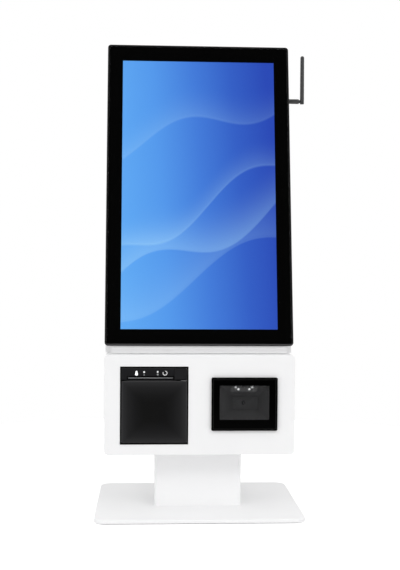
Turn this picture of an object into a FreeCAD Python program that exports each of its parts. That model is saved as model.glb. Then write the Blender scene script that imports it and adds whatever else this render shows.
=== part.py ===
import FreeCAD, Part
import math
import os

V = FreeCAD.Vector
X_AXIS, Y_AXIS, Z_AXIS = V(1, 0, 0), V(0, 1, 0), V(0, 0, 1)

# A counter-top self-service kiosk, in millimetres. The origin is on the table under the middle
# of the base plate, +Z is up, the front faces -Y, and +X is to the right seen from the front.

# Base and column
PAD_THICK = 2.0
PAD_INSET = 6.0
BASE_W = 384.0
BASE_D = 310.0
BASE_THICK = 6.0
BASE_CORNER = 21.0
BASE_BEVEL = 0.8
COLUMN_W = 164.8
COLUMN_D = 97.6
COLUMN_CORNER = 5.5
COLUMN_WALL = 2.0
COLUMN_VISIBLE = 107.8
FLANGE_THICK = 5.0
FLANGE_GAP = 0.2
SCREW_INSET_X = 24.0
SCREW_INSET_Y = 20.0
BASE_SCREW_R = 3.0
BASE_SCREW_HEAD_R = 6.0
BASE_SCREW_HEAD = 3.2
BOLT_HEAD_R = 5.0
BOLT_HEAD = 4.0
SCREW_CLEAR = 0.1

# Lower housing
BODY_W = 352.0
BODY_CORNER = 8.0
SHEET = 2.0
HOUSING_FRONT = -106.0
HOUSING_BACK = 50.0
HOUSING_H = 184.5
PANEL_FLANGE = 10.0
PANEL_EDGE = 1.2
SEAM_GAP = 0.3
BACK_LEDGE = 12.0
BACK_GAP = 0.5
BACK_SCREW_R = 1.5
BACK_SCREW_HEAD_R = 2.8
BACK_SCREW_HEAD = 1.6
CABLE_SLOT_W = 120.0
CABLE_SLOT_D = 36.0

# Display, upright in its own frame: x across, y into the display, z up the glass
TILT = 10.2
DISPLAY_SETBACK = 26.3
DISPLAY_LIFT = 15.2
SCREEN_W = 296.5
SCREEN_H = 527.0
MARGIN_SIDE = 28.45
MARGIN_TOP = 31.3
MARGIN_BOTTOM = 30.7
RIM_WIDTH = 3.2
RIM_LIP = 9.0
RIM_CORNER = 6.0
RIM_ROUND = 2.2
RIM_DEPTH = 6.0
GLASS_THICK = 3.0
GLASS_SET = 0.2
GLASS_GAP = 0.15
LCD_MARGIN = 7.0
LCD_DEPTH = 9.0
LCD_GAP = 0.3
LCD_STEP = 0.6
SHELL_W = 328.6
SHELL_DROP = 18.0
SHELL_GAP = 0.6
SHELL_TOP_INSET = 12.0
SHELL_DEPTH = 19.0
SHELL_WALL = 1.5
RAIL_W = 18.0

# Upper cabinet behind the display
CABINET_DEPTH = 45.0
CABINET_TOP_INSET = 8.0
CABINET_WALL = 2.0
FOLD_R = 1.6
CABINET_LIP = 16.0
DOOR_HALF_W = 128.0
DOOR_LIFT = 29.7
DOOR_H = 280.0
DOOR_GAP = 0.8
DOOR_FLANGE = 7.0
FRAME_LIP = 15.0
KNUCKLE_R = 4.0
KNUCKLE_LEN = 14.0
DOOR_PIN_R = 1.5
PIN_CLEAR = 0.06
LOUVRE_W = 70.0
LOUVRE_H = 3.0
LOUVRE_PITCH = 9.0
LOUVRE_ROWS = 8
LOUVRE_OUT = 2.4
SIDE_VENT_W = 22.0
SIDE_VENT_DROP = 220.0
LOCK_INSET = 24.0
LOCK_R = 9.3
LOCK_FACE_R = 11.0
PLUG_R = 6.0
CAM_LEN = 34.0
CAM_W = 12.0
CAM_THICK = 2.0

# Circuit boards behind the service door
TRAY_UP = 175.0
TRAY_H = 230.0
BOARD_SIZE = 170.0
BOARD_THICK = 1.6
STANDOFF = 6.0
SUPPLY_X = 66.0
SUPPLY_W = 96.0
SUPPLY_D = 50.0
SUPPLY_H = 58.0

# Sockets and vents on the housing back
SOCKET_LIFT = 42.2
ENTRY_X = 100.0
ENTRY_W = 52.0
ENTRY_H = 22.0
ENTRY_DEEP = 20.0
ENTRY_FLANGE = 2.5
INLET_OFFSET = 11.0
CAVITY_W = 24.0
CAVITY_H = 16.4
CAVITY_CORNER = 5.0
CAVITY_DEEP = 17.0
ROCKER_OFFSET = -15.0
ROCKER_CAP_W = 15.0
ROCKER_CAP_H = 12.0
ROCKER_TURN = 14.0
ROCKER_DEPTH = 2.0
DATA_X = -104.0
DATA_W = 46.0
DATA_H = 14.6
DATA_DEEP = 18.0
DATA_CAVITY = 12.0
VENT_ROWS = 6
VENT_W = 60.0
VENT_H = 3.0
VENT_PITCH = 8.0
VENT_STEP = 90.0
VENT_DROP = 44.0

# Antenna on the right of the upper cabinet
ANTENNA_DEPTH = 39.0
ANTENNA_DROP = 97.3
SOCKET_R = 3.2
BARREL_R = 4.7
BARREL_LEN = 26.0
BARREL_TAPER = 1.2
ELBOW_REACH = 32.0
WHIP_R = 4.1
WHIP_TIP_R = 3.8
WHIP_RISE = 90.4
WHIP_FOOT = 4.8
ELBOW_PIN_R = 1.2
TONGUE = 3.0

# Receipt printer
PRINTER_X = -84.0
PRINTER_LIFT = 91.35
PRINTER_W = 125.0
PRINTER_H = 143.0
PRINTER_PROUD = 1.2
BEZEL_RING = 2.0
BEZEL_FRONT = 3.0
BEZEL_DEEP = 10.0
BEZEL_EAR = 8.0
CUTOUT_GAP = 0.3
STRIP_H = 21.85
SLOT_BELOW = 2.0
SLOT_ABOVE = 5.4
PAPER_W = 80.0
SLOT_W = 83.9
SLOT_POST = 1.9
TEAR_UP = 2.4
TEAR_THICK = 1.3
TEAR_WEB = 3.8
MARK_DROP = 9.65
LENS_COLUMNS = (-32.7, -18.8, 6.1)
RELEASE_W = 21.6
RELEASE_EDGE = 1.8
RELEASE_TRAVEL = 3.0
PUSH_R = 2.0
FEED_OFFSET = 19.5
FEED_R = 4.7
FEED_RIM = 1.2
FEED_TRAVEL = 1.2
SWITCH_BEHIND = 3.1
BOSS_W = 6.0
BUTTON_GAP = 0.3
FACE_DOOR_GAP = 0.3
DOOR_SKIN = 3.0
HINGE_ROD_R = 1.0

# Paper path and gears
ROLL_R = 38.0
ROLL_REST = 0.3
RIB_GAP = 1.5
RIB_REACH = 31.0
RIB_SLOPE = 8.0
RIB_IN = 6.0
RIB_MIDDLE = 12.0
CORE_R = 8.5
CORE_BORE = 6.25
BUCKET_R = 41.0
BUCKET_BACK = 35.0
BUCKET_DROP = 60.8
BUCKET_SIDE = 1.5
BUCKET_FROM = -132.0
BUCKET_TO = 62.0
CHASSIS_WALL = 2.5
CHASSIS_FRONT = 9.2
CHASSIS_DEPTH = 86.0
CHASSIS_TOP = 21.2
PLATEN_BACK = 14.2
PLATEN_DROP = 8.0
PLATEN_R = 8.0
SHAFT_R = 2.5
BUSH_R = 4.0
BUSH_GAP = 0.15
CHEEK_GAP = 0.7
CHEEK_THICK = 2.4
GEAR_GAP = 0.6
GEAR_THICK = 5.0
GEAR_MODULE = 0.8
PLATEN_TEETH = 21
IDLER_TEETH = 27
PINION_TEETH = 18
PINION_ANGLE = -30.0
TOOTH_BACKLASH = 0.12
MOTOR_R = 12.0
MOTOR_LEN = 15.0
MOTOR_SHAFT_R = 1.5
HEAD_GAP = 0.3
BLADE_UP = 10.3
BLADE_THICK = 1.0
BLADE_LEN = 17.0
BLADE_STROKE = 5.5
BLADE_VEE = 2.5
BLADE_LAP = 1.1
FIXED_BLADE = 0.8
LUG_UP = 12.0
LUG_H = 40.0

# Code scanner
SCANNER_X = 82.15
SCANNER_LIFT = 94.2
SCANNER_W = 122.0
SCANNER_H = 98.0
SCANNER_CORNER = 2.5
SCANNER_PROUD = 6.0
SEAM_INSET = 3.2
SEAM_W = 0.7
SEAM_DEEP = 0.5
COLLAR_INSET = 6.0
COLLAR_DEEP = 10.0
WINDOW_W = 91.8
WINDOW_H = 63.2
WINDOW_SIDE = -0.35
WINDOW_UP = 2.9
WINDOW_THICK = 2.0
WINDOW_SET = 1.0
WINDOW_LAP = 2.0
HOOD_WALL = 1.5
HOOD_DEEP = 45.8
HOOD_SIDE = 5.7
HOOD_DROP = 7.2
HOOD_BACK_W = 50.0
HOOD_BACK_H = 25.0
LENS_R = 4.2
LENS_SIDE = -3.9
LENS_UP = 1.4
LAMP_R = 2.4
LAMP_PLACES = (-16.2, -10.0, 10.2, 17.2)

# Heights that follow from the sizes above
PLATE_TOP = PAD_THICK + BASE_THICK
HOUSING_Z0 = PLATE_TOP + COLUMN_VISIBLE
HOUSING_Z1 = HOUSING_Z0 + HOUSING_H
HOUSING_ZM = (HOUSING_Z0 + HOUSING_Z1) / 2
SOCKET_Z = HOUSING_Z0 + SOCKET_LIFT
INLET_X = ENTRY_X + INLET_OFFSET
ROCKER_X = ENTRY_X + ROCKER_OFFSET
ROCKER_Y = HOUSING_BACK - ROCKER_DEPTH
DISPLAY_Y = HOUSING_FRONT + DISPLAY_SETBACK
DISPLAY_Z = HOUSING_Z1 + DISPLAY_LIFT
CASE_W = SCREEN_W + 2 * MARGIN_SIDE
CASE_H = SCREEN_H + MARGIN_TOP + MARGIN_BOTTOM
CABINET_FRONT = RIM_DEPTH + SHELL_DEPTH
CABINET_BACK = CABINET_FRONT + CABINET_DEPTH
DOOR_Z0 = HOUSING_Z1 + DOOR_LIFT
DOOR_Z1 = DOOR_Z0 + DOOR_H
HINGE_X = KNUCKLE_R - DOOR_HALF_W
LOCK_X = DOOR_HALF_W - LOCK_INSET
LOCK_Z = (DOOR_Z0 + DOOR_Z1) / 2
ELBOW_X = BODY_W / 2 + ELBOW_REACH
BARREL_END = BODY_W / 2 + BARREL_LEN

# Places in the printer that follow from the sizes above
PRINTER_FACE = HOUSING_FRONT - PRINTER_PROUD
PRINTER_Z = HOUSING_Z0 + PRINTER_LIFT
OPEN_X0 = PRINTER_X - PRINTER_W / 2 + BEZEL_RING
OPEN_X1 = PRINTER_X + PRINTER_W / 2 - BEZEL_RING
OPEN_Z0 = PRINTER_Z - PRINTER_H / 2 + BEZEL_RING
OPEN_Z1 = PRINTER_Z + PRINTER_H / 2 - BEZEL_RING
STRIP_Z = OPEN_Z1 - STRIP_H
STRIP_BACK = PRINTER_FACE + BEZEL_FRONT
FACE_DOOR_TOP = STRIP_Z - SLOT_BELOW
RELEASE_X1 = OPEN_X1 - RELEASE_EDGE
RELEASE_X0 = RELEASE_X1 - RELEASE_W
SLOT_X1 = RELEASE_X0 - SLOT_POST
SLOT_X0 = SLOT_X1 - SLOT_W
SLOT_TOP = STRIP_Z + SLOT_ABOVE
TEAR_Z = STRIP_Z + TEAR_UP
MARK_Z = OPEN_Z1 - MARK_DROP
FEED_X = PRINTER_X + FEED_OFFSET
HINGE_Y = PRINTER_FACE + DOOR_SKIN
HINGE_Z = OPEN_Z0 + FACE_DOOR_GAP + DOOR_SKIN
BEZEL_BACK = HOUSING_FRONT + SHEET + BEZEL_DEEP
PATH_X = (SLOT_X0 + SLOT_X1) / 2
PLATEN_Y = PRINTER_FACE + PLATEN_BACK
PLATEN_Z = FACE_DOOR_TOP - PLATEN_DROP
BUCKET_Y = PLATEN_Y + BUCKET_BACK
BUCKET_Z = PLATEN_Z - BUCKET_DROP
ROLL_Z = BUCKET_Z - BUCKET_R + ROLL_R + ROLL_REST
WALL_IN = PAPER_W / 2 + BUCKET_SIDE
WALL_OUT = WALL_IN + CHASSIS_WALL
CHEEK_X = WALL_OUT + CHEEK_GAP
GEAR_X = CHEEK_X + CHEEK_THICK + GEAR_GAP
CHASSIS_Y0 = PRINTER_FACE + CHASSIS_FRONT
CHASSIS_Y1 = CHASSIS_Y0 + CHASSIS_DEPTH
CHASSIS_Z0 = BUCKET_Z - BUCKET_R - CHASSIS_WALL
CHASSIS_Z1 = PLATEN_Z + CHASSIS_TOP
BLADE_Y = PLATEN_Y + PLATEN_R + 0.6
BLADE_Z = PLATEN_Z + BLADE_UP
INSIDE_HALF = WALL_IN - 0.3
SWITCH_Y = STRIP_BACK + SWITCH_BEHIND
STOP_Y = CHASSIS_Y0 + 1.2

# Places in the scanner that follow from the sizes above
SCANNER_FACE = HOUSING_FRONT - SCANNER_PROUD
SCANNER_Z = HOUSING_Z0 + SCANNER_LIFT
WINDOW_X = SCANNER_X + WINDOW_SIDE
WINDOW_Z = SCANNER_Z + WINDOW_UP
HOOD_Y = SCANNER_FACE + WINDOW_SET + WINDOW_THICK + 0.2
HOOD_BACK = HOOD_Y + HOOD_DEEP
HOOD_BACK_X = WINDOW_X + HOOD_SIDE
HOOD_BACK_Z = WINDOW_Z - HOOD_DROP


# Basic solids

def box(x0, x1, y0, y1, z0, z1):
    return Part.makeBox(x1 - x0, y1 - y0, z1 - z0, V(x0, y0, z0))


def block(x, z, w, h, y0, y1):
    """A box w by h centred on x and z, from y0 back to y1."""
    return box(x - w / 2, x + w / 2, y0, y1, z - h / 2, z + h / 2)


def rod(radius, start, axis, length):
    return Part.makeCylinder(radius, length, start, axis)


def fuse(shapes):
    result = shapes[0].multiFuse(shapes[1:])
    return result.removeSplitter()


def group(shapes):
    return Part.makeCompound(shapes)


def prism(points, axis, start, end):
    """A closed outline pushed along X, Y or Z. Points are (y, z), (x, z) or (x, y)."""
    place = {
        "x": lambda a, b: V(start, a, b),
        "y": lambda a, b: V(a, start, b),
        "z": lambda a, b: V(a, b, start),
    }[axis]
    along = {"x": X_AXIS, "y": Y_AXIS, "z": Z_AXIS}[axis]
    corners = [place(a, b) for a, b in points]
    face = Part.Face(Part.makePolygon(corners + corners[:1]))
    return face.extrude(along * (end - start))


def both_sides(make, inner, outer):
    """Two mirrored slabs either side of the paper path, from inner to outer off its middle."""
    return [make(PATH_X - outer, PATH_X - inner), make(PATH_X + inner, PATH_X + outer)]


def rounded_wire(w, h, r, to_world):
    """A rectangle w by h about the origin with round corners of radius r."""
    a, b = w / 2, h / 2
    k = r * (1 - math.sqrt(0.5))
    corners = []
    for sx, sy in ((1, -1), (1, 1), (-1, 1), (-1, -1)):
        side = (sx * a, sy * (b - r))
        end = (sx * (a - r), sy * b)
        entry, leave = (side, end) if sx == sy else (end, side)
        middle = (sx * (a - k), sy * (b - k))
        corners.append([to_world(*p) for p in (entry, middle, leave)])
    parts = []
    for i, (entry, middle, leave) in enumerate(corners):
        parts.append(Part.Arc(entry, middle, leave).toShape())
        parts.append(Part.LineSegment(leave, corners[(i + 1) % 4][0]).toShape())
    return Part.Wire(parts)


def rounded_y(w, h, r, x, z, y0, y1):
    """A rounded plate or tube blank that runs along Y, centred on x and z."""
    wire = rounded_wire(w, h, r, lambda a, b: V(x + a, y0, z + b))
    return Part.Face(wire).extrude(Y_AXIS * (y1 - y0))


def rounded_z(w, d, r, z0, z1):
    wire = rounded_wire(w, d, r, lambda a, b: V(a, b, z0))
    return Part.Face(wire).extrude(Z_AXIS * (z1 - z0))


def countersunk(radius, head_r, head, start, axis, length):
    """A flat-headed screw whose face is at start and whose shank runs along axis."""
    cone = Part.makeCone(head_r, radius, head, start, axis)
    return fuse([cone, rod(radius, start, axis, length)])


def hexagon(radius, thick, seat, axis):
    """A hexagon of the given corner radius that stands on seat and points away from axis."""
    angles = [math.radians(60 * i) for i in range(7)]
    wire = Part.makePolygon([V(radius * math.cos(a), radius * math.sin(a), 0) for a in angles])
    made = Part.Face(wire).extrude(Z_AXIS * thick)
    made.Placement = FreeCAD.Placement(seat - axis * thick, FreeCAD.Rotation(Z_AXIS, axis))
    return made


def front_edges(shape, y):
    return [e for e in shape.Edges if e.BoundBox.YMax < y + 1e-6]


def lean(shape):
    """Moves a shape from the display's upright frame to its leaning place."""
    moved = shape.copy()
    turn = FreeCAD.Rotation(X_AXIS, -TILT)
    place = FreeCAD.Placement(V(0, DISPLAY_Y, DISPLAY_Z), turn)
    moved.Placement = place.multiply(moved.Placement)
    return moved


def lean_yz(depth, height):
    """Where a point of the display's frame lies in the kiosk's y and z."""
    c, s = math.cos(math.radians(TILT)), math.sin(math.radians(TILT))
    return DISPLAY_Y + depth * c + height * s, DISPLAY_Z - depth * s + height * c


# Base and column

def screw_places():
    a = COLUMN_W / 2 - SCREW_INSET_X
    b = COLUMN_D / 2 - SCREW_INSET_Y
    return [(sx * a, sy * b) for sx in (-1, 1) for sy in (-1, 1)]


def screw_holes(z, depth):
    return [rod(BASE_SCREW_R + SCREW_CLEAR, V(x, y, z), Z_AXIS, depth) for x, y in screw_places()]


def base_pad():
    w, d = BASE_W - 2 * PAD_INSET, BASE_D - 2 * PAD_INSET
    return rounded_z(w, d, BASE_CORNER - PAD_INSET, 0, PAD_THICK)


def base_plate():
    plate = rounded_z(BASE_W, BASE_D, BASE_CORNER, PAD_THICK, PLATE_TOP)
    rims = [e for e in plate.Edges if abs(e.BoundBox.ZMin - PLATE_TOP) < 1e-6]
    plate = plate.makeChamfer(BASE_BEVEL, rims)
    for x, y in screw_places():
        hole = countersunk(BASE_SCREW_R + SCREW_CLEAR, BASE_SCREW_HEAD_R + SCREW_CLEAR,
                           BASE_SCREW_HEAD, V(x, y, PAD_THICK), Z_AXIS, BASE_THICK)
        plate = plate.cut(hole)
    return plate


def base_screws():
    length = BASE_THICK + FLANGE_THICK
    return group([countersunk(BASE_SCREW_R, BASE_SCREW_HEAD_R, BASE_SCREW_HEAD,
                              V(x, y, PAD_THICK), Z_AXIS, length) for x, y in screw_places()])


def column():
    inner_r = COLUMN_CORNER - COLUMN_WALL
    outer = rounded_z(COLUMN_W, COLUMN_D, COLUMN_CORNER, PLATE_TOP, HOUSING_Z0)
    inner = rounded_z(COLUMN_W - 2 * COLUMN_WALL, COLUMN_D - 2 * COLUMN_WALL, inner_r,
                      PLATE_TOP, HOUSING_Z0)
    return outer.cut(inner)


def column_flanges():
    """The thick plates inside the column's ends that the base and housing screw to."""
    inset = COLUMN_WALL + FLANGE_GAP
    made = []
    for z in (PLATE_TOP, HOUSING_Z0 - FLANGE_THICK):
        plate = rounded_z(COLUMN_W - 2 * inset, COLUMN_D - 2 * inset, COLUMN_CORNER - inset,
                          z, z + FLANGE_THICK)
        made.append(plate.cut(screw_holes(z, FLANGE_THICK)))
    return group(made)


def head_bolts():
    seat = HOUSING_Z0 + SHEET
    length = SHEET + FLANGE_THICK
    made = []
    for x, y in screw_places():
        head = hexagon(BOLT_HEAD_R, BOLT_HEAD, V(x, y, seat), -Z_AXIS)
        made.append(fuse([head, rod(BASE_SCREW_R, V(x, y, seat), -Z_AXIS, length)]))
    return group(made)


# Lower housing

def housing_block(inset, y0, y1):
    return rounded_y(BODY_W - 2 * inset, HOUSING_H - 2 * inset, max(BODY_CORNER - inset, 1.0),
                     0, HOUSING_ZM, y0, y1)


def cable_slot(z0, z1):
    return box(-CABLE_SLOT_W / 2, CABLE_SLOT_W / 2, -CABLE_SLOT_D / 2, CABLE_SLOT_D / 2, z0, z1)


def housing_shell():
    """A folded tube, open at the front, with a ledge for the back plate."""
    y0, y1 = HOUSING_FRONT + SHEET, HOUSING_BACK
    ledge = HOUSING_BACK - SHEET
    tube = housing_block(0, y0, y1)
    tube = tube.cut(housing_block(SHEET, y0, ledge - SHEET))
    tube = tube.cut(housing_block(SHEET + BACK_LEDGE, ledge - SHEET, ledge))
    tube = tube.cut(housing_block(SHEET, ledge, y1))
    tube = tube.cut(screw_holes(HOUSING_Z0, SHEET))
    return tube.cut(cable_slot(HOUSING_Z1 - SHEET, HOUSING_Z1))


def scanner_collar(grow, y0, y1):
    w, h = SCANNER_W - 2 * COLLAR_INSET, SCANNER_H - 2 * COLLAR_INSET
    return rounded_y(w + 2 * grow, h + 2 * grow, SCANNER_CORNER, SCANNER_X, SCANNER_Z, y0, y1)


def front_panel():
    y0, y1 = HOUSING_FRONT, HOUSING_FRONT + SHEET
    inset = SHEET + SEAM_GAP
    flange = housing_block(inset, y1, y1 + PANEL_FLANGE)
    flange = flange.cut(housing_block(inset + SHEET, y1, y1 + PANEL_FLANGE))
    face = housing_block(0, y0, y1)
    face = face.makeFillet(PANEL_EDGE, front_edges(face, y0))
    panel = fuse([face, flange])
    gap = 2 * CUTOUT_GAP
    panel = panel.cut(block(PRINTER_X, PRINTER_Z, PRINTER_W + gap, PRINTER_H + gap, y0, y1))
    return panel.cut(scanner_collar(CUTOUT_GAP, y0, y1))


def back_screw_places():
    a = BODY_W / 2 - SHEET - BACK_LEDGE / 2
    b = HOUSING_H / 2 - SHEET - BACK_LEDGE / 2
    return [(x, HOUSING_ZM + s * b) for x in (-a, 0, a) for s in (-1, 1)]


def housing_back():
    y0, y1 = HOUSING_BACK - SHEET, HOUSING_BACK
    plate = housing_block(SHEET + BACK_GAP, y0, y1)
    for x, z in back_screw_places():
        plate = plate.cut(rod(BACK_SCREW_R + SCREW_CLEAR, V(x, y0, z), Y_AXIS, SHEET))
    gap = 2 * CUTOUT_GAP
    plate = plate.cut(block(ENTRY_X, SOCKET_Z, ENTRY_W + gap, ENTRY_H + gap, y0, y1))
    plate = plate.cut(block(DATA_X, SOCKET_Z, DATA_W + gap, DATA_H + gap, y0, y1))
    for x in (-VENT_STEP, 0, VENT_STEP):
        for i in range(VENT_ROWS):
            z = HOUSING_Z1 - VENT_DROP - i * VENT_PITCH
            plate = plate.cut(box(x - VENT_W / 2, x + VENT_W / 2, y0, y1, z, z + VENT_H))
    return plate


def back_screws():
    """Pan-headed screws through the back plate."""
    made = []
    for x, z in back_screw_places():
        head = rod(BACK_SCREW_HEAD_R, V(x, HOUSING_BACK, z), Y_AXIS, BACK_SCREW_HEAD)
        shank = rod(BACK_SCREW_R, V(x, HOUSING_BACK - SHEET, z), Y_AXIS, SHEET)
        made.append(fuse([head, shank]))
    return group(made)


# Sockets on the housing back

def power_entry():
    """The mains module: a flanged body with a three-pin inlet and a window for the rocker."""
    y = HOUSING_BACK
    body = block(ENTRY_X, SOCKET_Z, ENTRY_W, ENTRY_H, y - ENTRY_DEEP, y)
    a, b = ENTRY_W / 2, ENTRY_H / 2 + 2
    nose = a + 9
    ears = [(ENTRY_X - nose, SOCKET_Z), (ENTRY_X - a, SOCKET_Z - b), (ENTRY_X + a, SOCKET_Z - b),
            (ENTRY_X + nose, SOCKET_Z), (ENTRY_X + a, SOCKET_Z + b), (ENTRY_X - a, SOCKET_Z + b)]
    entry = fuse([body, prism(ears, "y", y, y + ENTRY_FLANGE)])
    w, h, cut = CAVITY_W / 2, CAVITY_H / 2, CAVITY_CORNER
    mouth = [(-w, -h), (w, -h), (w, h - cut), (w - cut, h), (cut - w, h), (-w, h - cut)]
    mouth = [(INLET_X + p, SOCKET_Z + q) for p, q in mouth]
    entry = entry.cut(prism(mouth, "y", y + ENTRY_FLANGE - CAVITY_DEEP, y + ENTRY_FLANGE))
    blades = [block(INLET_X + dx, SOCKET_Z + dz, 2, 4, y + 1 - ENTRY_DEEP, y - 2)
              for dx, dz in ((-7, -2), (0, 2), (7, -2))]
    entry = fuse([entry] + blades)
    w, h = ROCKER_CAP_W + 2 * BUTTON_GAP, ROCKER_CAP_H + 2 * BUTTON_GAP
    entry = entry.cut(block(ROCKER_X, SOCKET_Z, w, h, y - 10, y + ENTRY_FLANGE))
    pin = rod(1.0, V(ROCKER_X, ROCKER_Y, SOCKET_Z - h / 2), Z_AXIS, h)
    return entry.fuse(pin)


def rocker():
    """The mains rocker on its pin, tilted to the side where it rests."""
    a, b = ROCKER_CAP_W / 2, ROCKER_CAP_H / 2
    start = V(ROCKER_X, ROCKER_Y, SOCKET_Z - b)
    outline = [(-a, -1.0), (a, -1.0), (a, 5.4), (0, 4.0), (-a, 5.4)]
    outline = [(ROCKER_X + p, ROCKER_Y + q) for p, q in outline]
    cap = prism(outline, "z", SOCKET_Z - b, SOCKET_Z + b)
    cap = cap.common(rod(a, start, Z_AXIS, 2 * b))
    cap = fuse([cap, rod(2.6, start, Z_AXIS, 2 * b)])
    cap = cap.cut(rod(1.0 + PIN_CLEAR, start, Z_AXIS, 2 * b))
    cap.rotate(V(ROCKER_X, ROCKER_Y, SOCKET_Z), Z_AXIS, -ROCKER_TURN / 2)
    return cap


def data_sockets():
    """One network socket and two data sockets in a common block."""
    y = HOUSING_BACK + 0.8
    body = block(DATA_X, SOCKET_Z, DATA_W, DATA_H, HOUSING_BACK - DATA_DEEP, y)
    for lo, hi, h in ((-20.0, -8.2, 8.4), (-5.0, 8.0, 5.6), (10.0, 22.0, 5.6)):
        body = body.cut(block(DATA_X + (lo + hi) / 2, SOCKET_Z, hi - lo, h, y - DATA_CAVITY, y))
    tongues = [box(DATA_X + lo, DATA_X + hi, y - DATA_CAVITY, y - 3, SOCKET_Z, SOCKET_Z + 1.6)
               for lo, hi in ((-4.0, 7.0), (11.0, 21.0))]
    return fuse([body] + tongues)


# Display

def slab(side, bottom, top, r, d0, d1):
    """A rounded slab of the display's frame, inset by side, from bottom up to top."""
    return rounded_y(CASE_W - 2 * side, top - bottom, r, 0, (top + bottom) / 2, d0, d1)


def inset_slab(inset, r, d0, d1):
    return slab(inset, inset, CASE_H - inset, r, d0, d1)


def display_rim():
    """The thin frame round the glass, with a lip that the glass is bonded to."""
    rim = inset_slab(0, RIM_CORNER, 0, RIM_DEPTH)
    rim = rim.makeFillet(RIM_ROUND, front_edges(rim, 0))
    rim = rim.cut(inset_slab(RIM_WIDTH, RIM_CORNER - RIM_WIDTH, 0,
                             GLASS_SET + GLASS_THICK + GLASS_GAP))
    return lean(rim.cut(inset_slab(RIM_WIDTH + RIM_LIP, 1.0, 0, RIM_DEPTH)))


def cover_glass():
    inset = RIM_WIDTH + GLASS_GAP
    return lean(inset_slab(inset, RIM_CORNER - inset, GLASS_SET, GLASS_SET + GLASS_THICK))


def lcd_panel():
    """The screen module behind the glass: a thin box with a raised frame round the picture."""
    d0 = GLASS_SET + GLASS_THICK + LCD_GAP
    middle = MARGIN_BOTTOM + SCREEN_H / 2
    panel = block(0, middle, SCREEN_W + 2 * LCD_MARGIN, SCREEN_H + 2 * LCD_MARGIN,
                  d0, d0 + LCD_DEPTH)
    return lean(panel.cut(block(0, middle, SCREEN_W, SCREEN_H, d0, d0 + LCD_STEP)))


def lcd_rails():
    """Two hat-shaped rails that carry the screen on the back shell's floor."""
    d0 = GLASS_SET + GLASS_THICK + LCD_GAP + LCD_DEPTH + LCD_GAP
    d1 = CABINET_FRONT - SHELL_WALL - LCD_GAP
    a, t = RAIL_W / 2, SHELL_WALL
    hat = [(-2 * a, d1 - t), (-a, d1 - t), (-a, d0), (a, d0), (a, d1 - t), (2 * a, d1 - t),
           (2 * a, d1), (a - t, d1), (a - t, d0 + t), (t - a, d0 + t), (t - a, d1), (-2 * a, d1)]
    rails = []
    for x in (-SCREEN_W / 4, SCREEN_W / 4):
        outline = [(x + p, d) for p, d in hat]
        rails.append(lean(prism(outline, "z", MARGIN_BOTTOM, MARGIN_BOTTOM + SCREEN_H)))
    return group(rails)


def above(shape, z):
    """The part of a shape above a level, for the display's shell over the housing's top."""
    return shape.common(box(-BODY_W, BODY_W, -BODY_W, BODY_W, z, z + 2 * CASE_H))


def display_shell():
    """The shallow tray behind the rim. It reaches down to just over the housing, where its
    floor is level, and has a hole for the screen's cables."""
    side = (CASE_W - SHELL_W) / 2
    low, high = -SHELL_DROP, CASE_H - SHELL_TOP_INSET
    d0, d1 = RIM_DEPTH, CABINET_FRONT - 0.05
    t, floor = SHELL_WALL, HOUSING_Z1 + SHELL_GAP
    outer = above(lean(slab(side, low, high, RIM_CORNER, d0, d1)), floor)
    inner = slab(side + t, low, high - t, RIM_CORNER - t, d0, d1 - t)
    inner = inner.cut(box(-CASE_W, CASE_W, d0, RIM_DEPTH + t, low, 0))
    shell = outer.cut(above(lean(inner), floor + t))
    return shell.cut(lean(box(-60, 60, d1 - t, d1, 90, 160)))


# Upper cabinet

def cabinet_profile(inset):
    """The cabinet's side outline as (y, z), drawn in by inset on every side."""
    top = CASE_H - CABINET_TOP_INSET - inset
    d0, d1 = CABINET_FRONT + inset, CABINET_BACK - inset
    c, s = math.cos(math.radians(TILT)), math.sin(math.radians(TILT))
    low, back = HOUSING_Z1 + inset, HOUSING_BACK - inset
    front_height = (low - DISPLAY_Z + d0 * s) / c
    back_height = (back - DISPLAY_Y - d1 * c) / s
    return [(lean_yz(d0, front_height)[0], low), (back, low), (back, lean_yz(d1, back_height)[1]),
            lean_yz(d1, top), lean_yz(d0, top)]


def cabinet_solid(inset):
    """The cabinet's block drawn in by inset, with its top corners rounded."""
    width = BODY_W - 2 * inset
    solid = prism(cabinet_profile(inset), "x", -width / 2, width / 2)
    below = -HOUSING_H
    frame = slab((CASE_W - width) / 2, below, CASE_H - CABINET_TOP_INSET - inset,
                 BODY_CORNER - inset, -HOUSING_H, CASE_H)
    return solid.common(lean(frame))


def fold_edges(solid):
    """The outer edges where the sheet is folded, without the seams of the round corners."""
    seams = (CABINET_DEPTH, BODY_W)
    above = [e for e in solid.Edges if e.BoundBox.ZMax > HOUSING_Z1 + 1]
    return [e for e in above if min(abs(e.Length - d) for d in seams) > 0.5]


def knuckle_spans():
    low, high = DOOR_Z0 + DOOR_GAP, DOOR_Z1 - DOOR_GAP
    return [(low, low + KNUCKLE_LEN), (high - KNUCKLE_LEN, high)]


def knuckle(z0, z1):
    """A rolled lug of the cabinet's back wall that holds a hinge pin."""
    y = HOUSING_BACK - KNUCKLE_R
    web = box(-DOOR_HALF_W - 2 * KNUCKLE_R, HINGE_X, y - KNUCKLE_R + 0.2,
              HOUSING_BACK - CABINET_WALL, z0, z1)
    lug = fuse([rod(KNUCKLE_R - 0.2, V(HINGE_X, y, z0), Z_AXIS, z1 - z0), web])
    return lug.cut(rod(DOOR_PIN_R + SCREW_CLEAR, V(HINGE_X, y, z0), Z_AXIS, z1 - z0))


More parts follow.
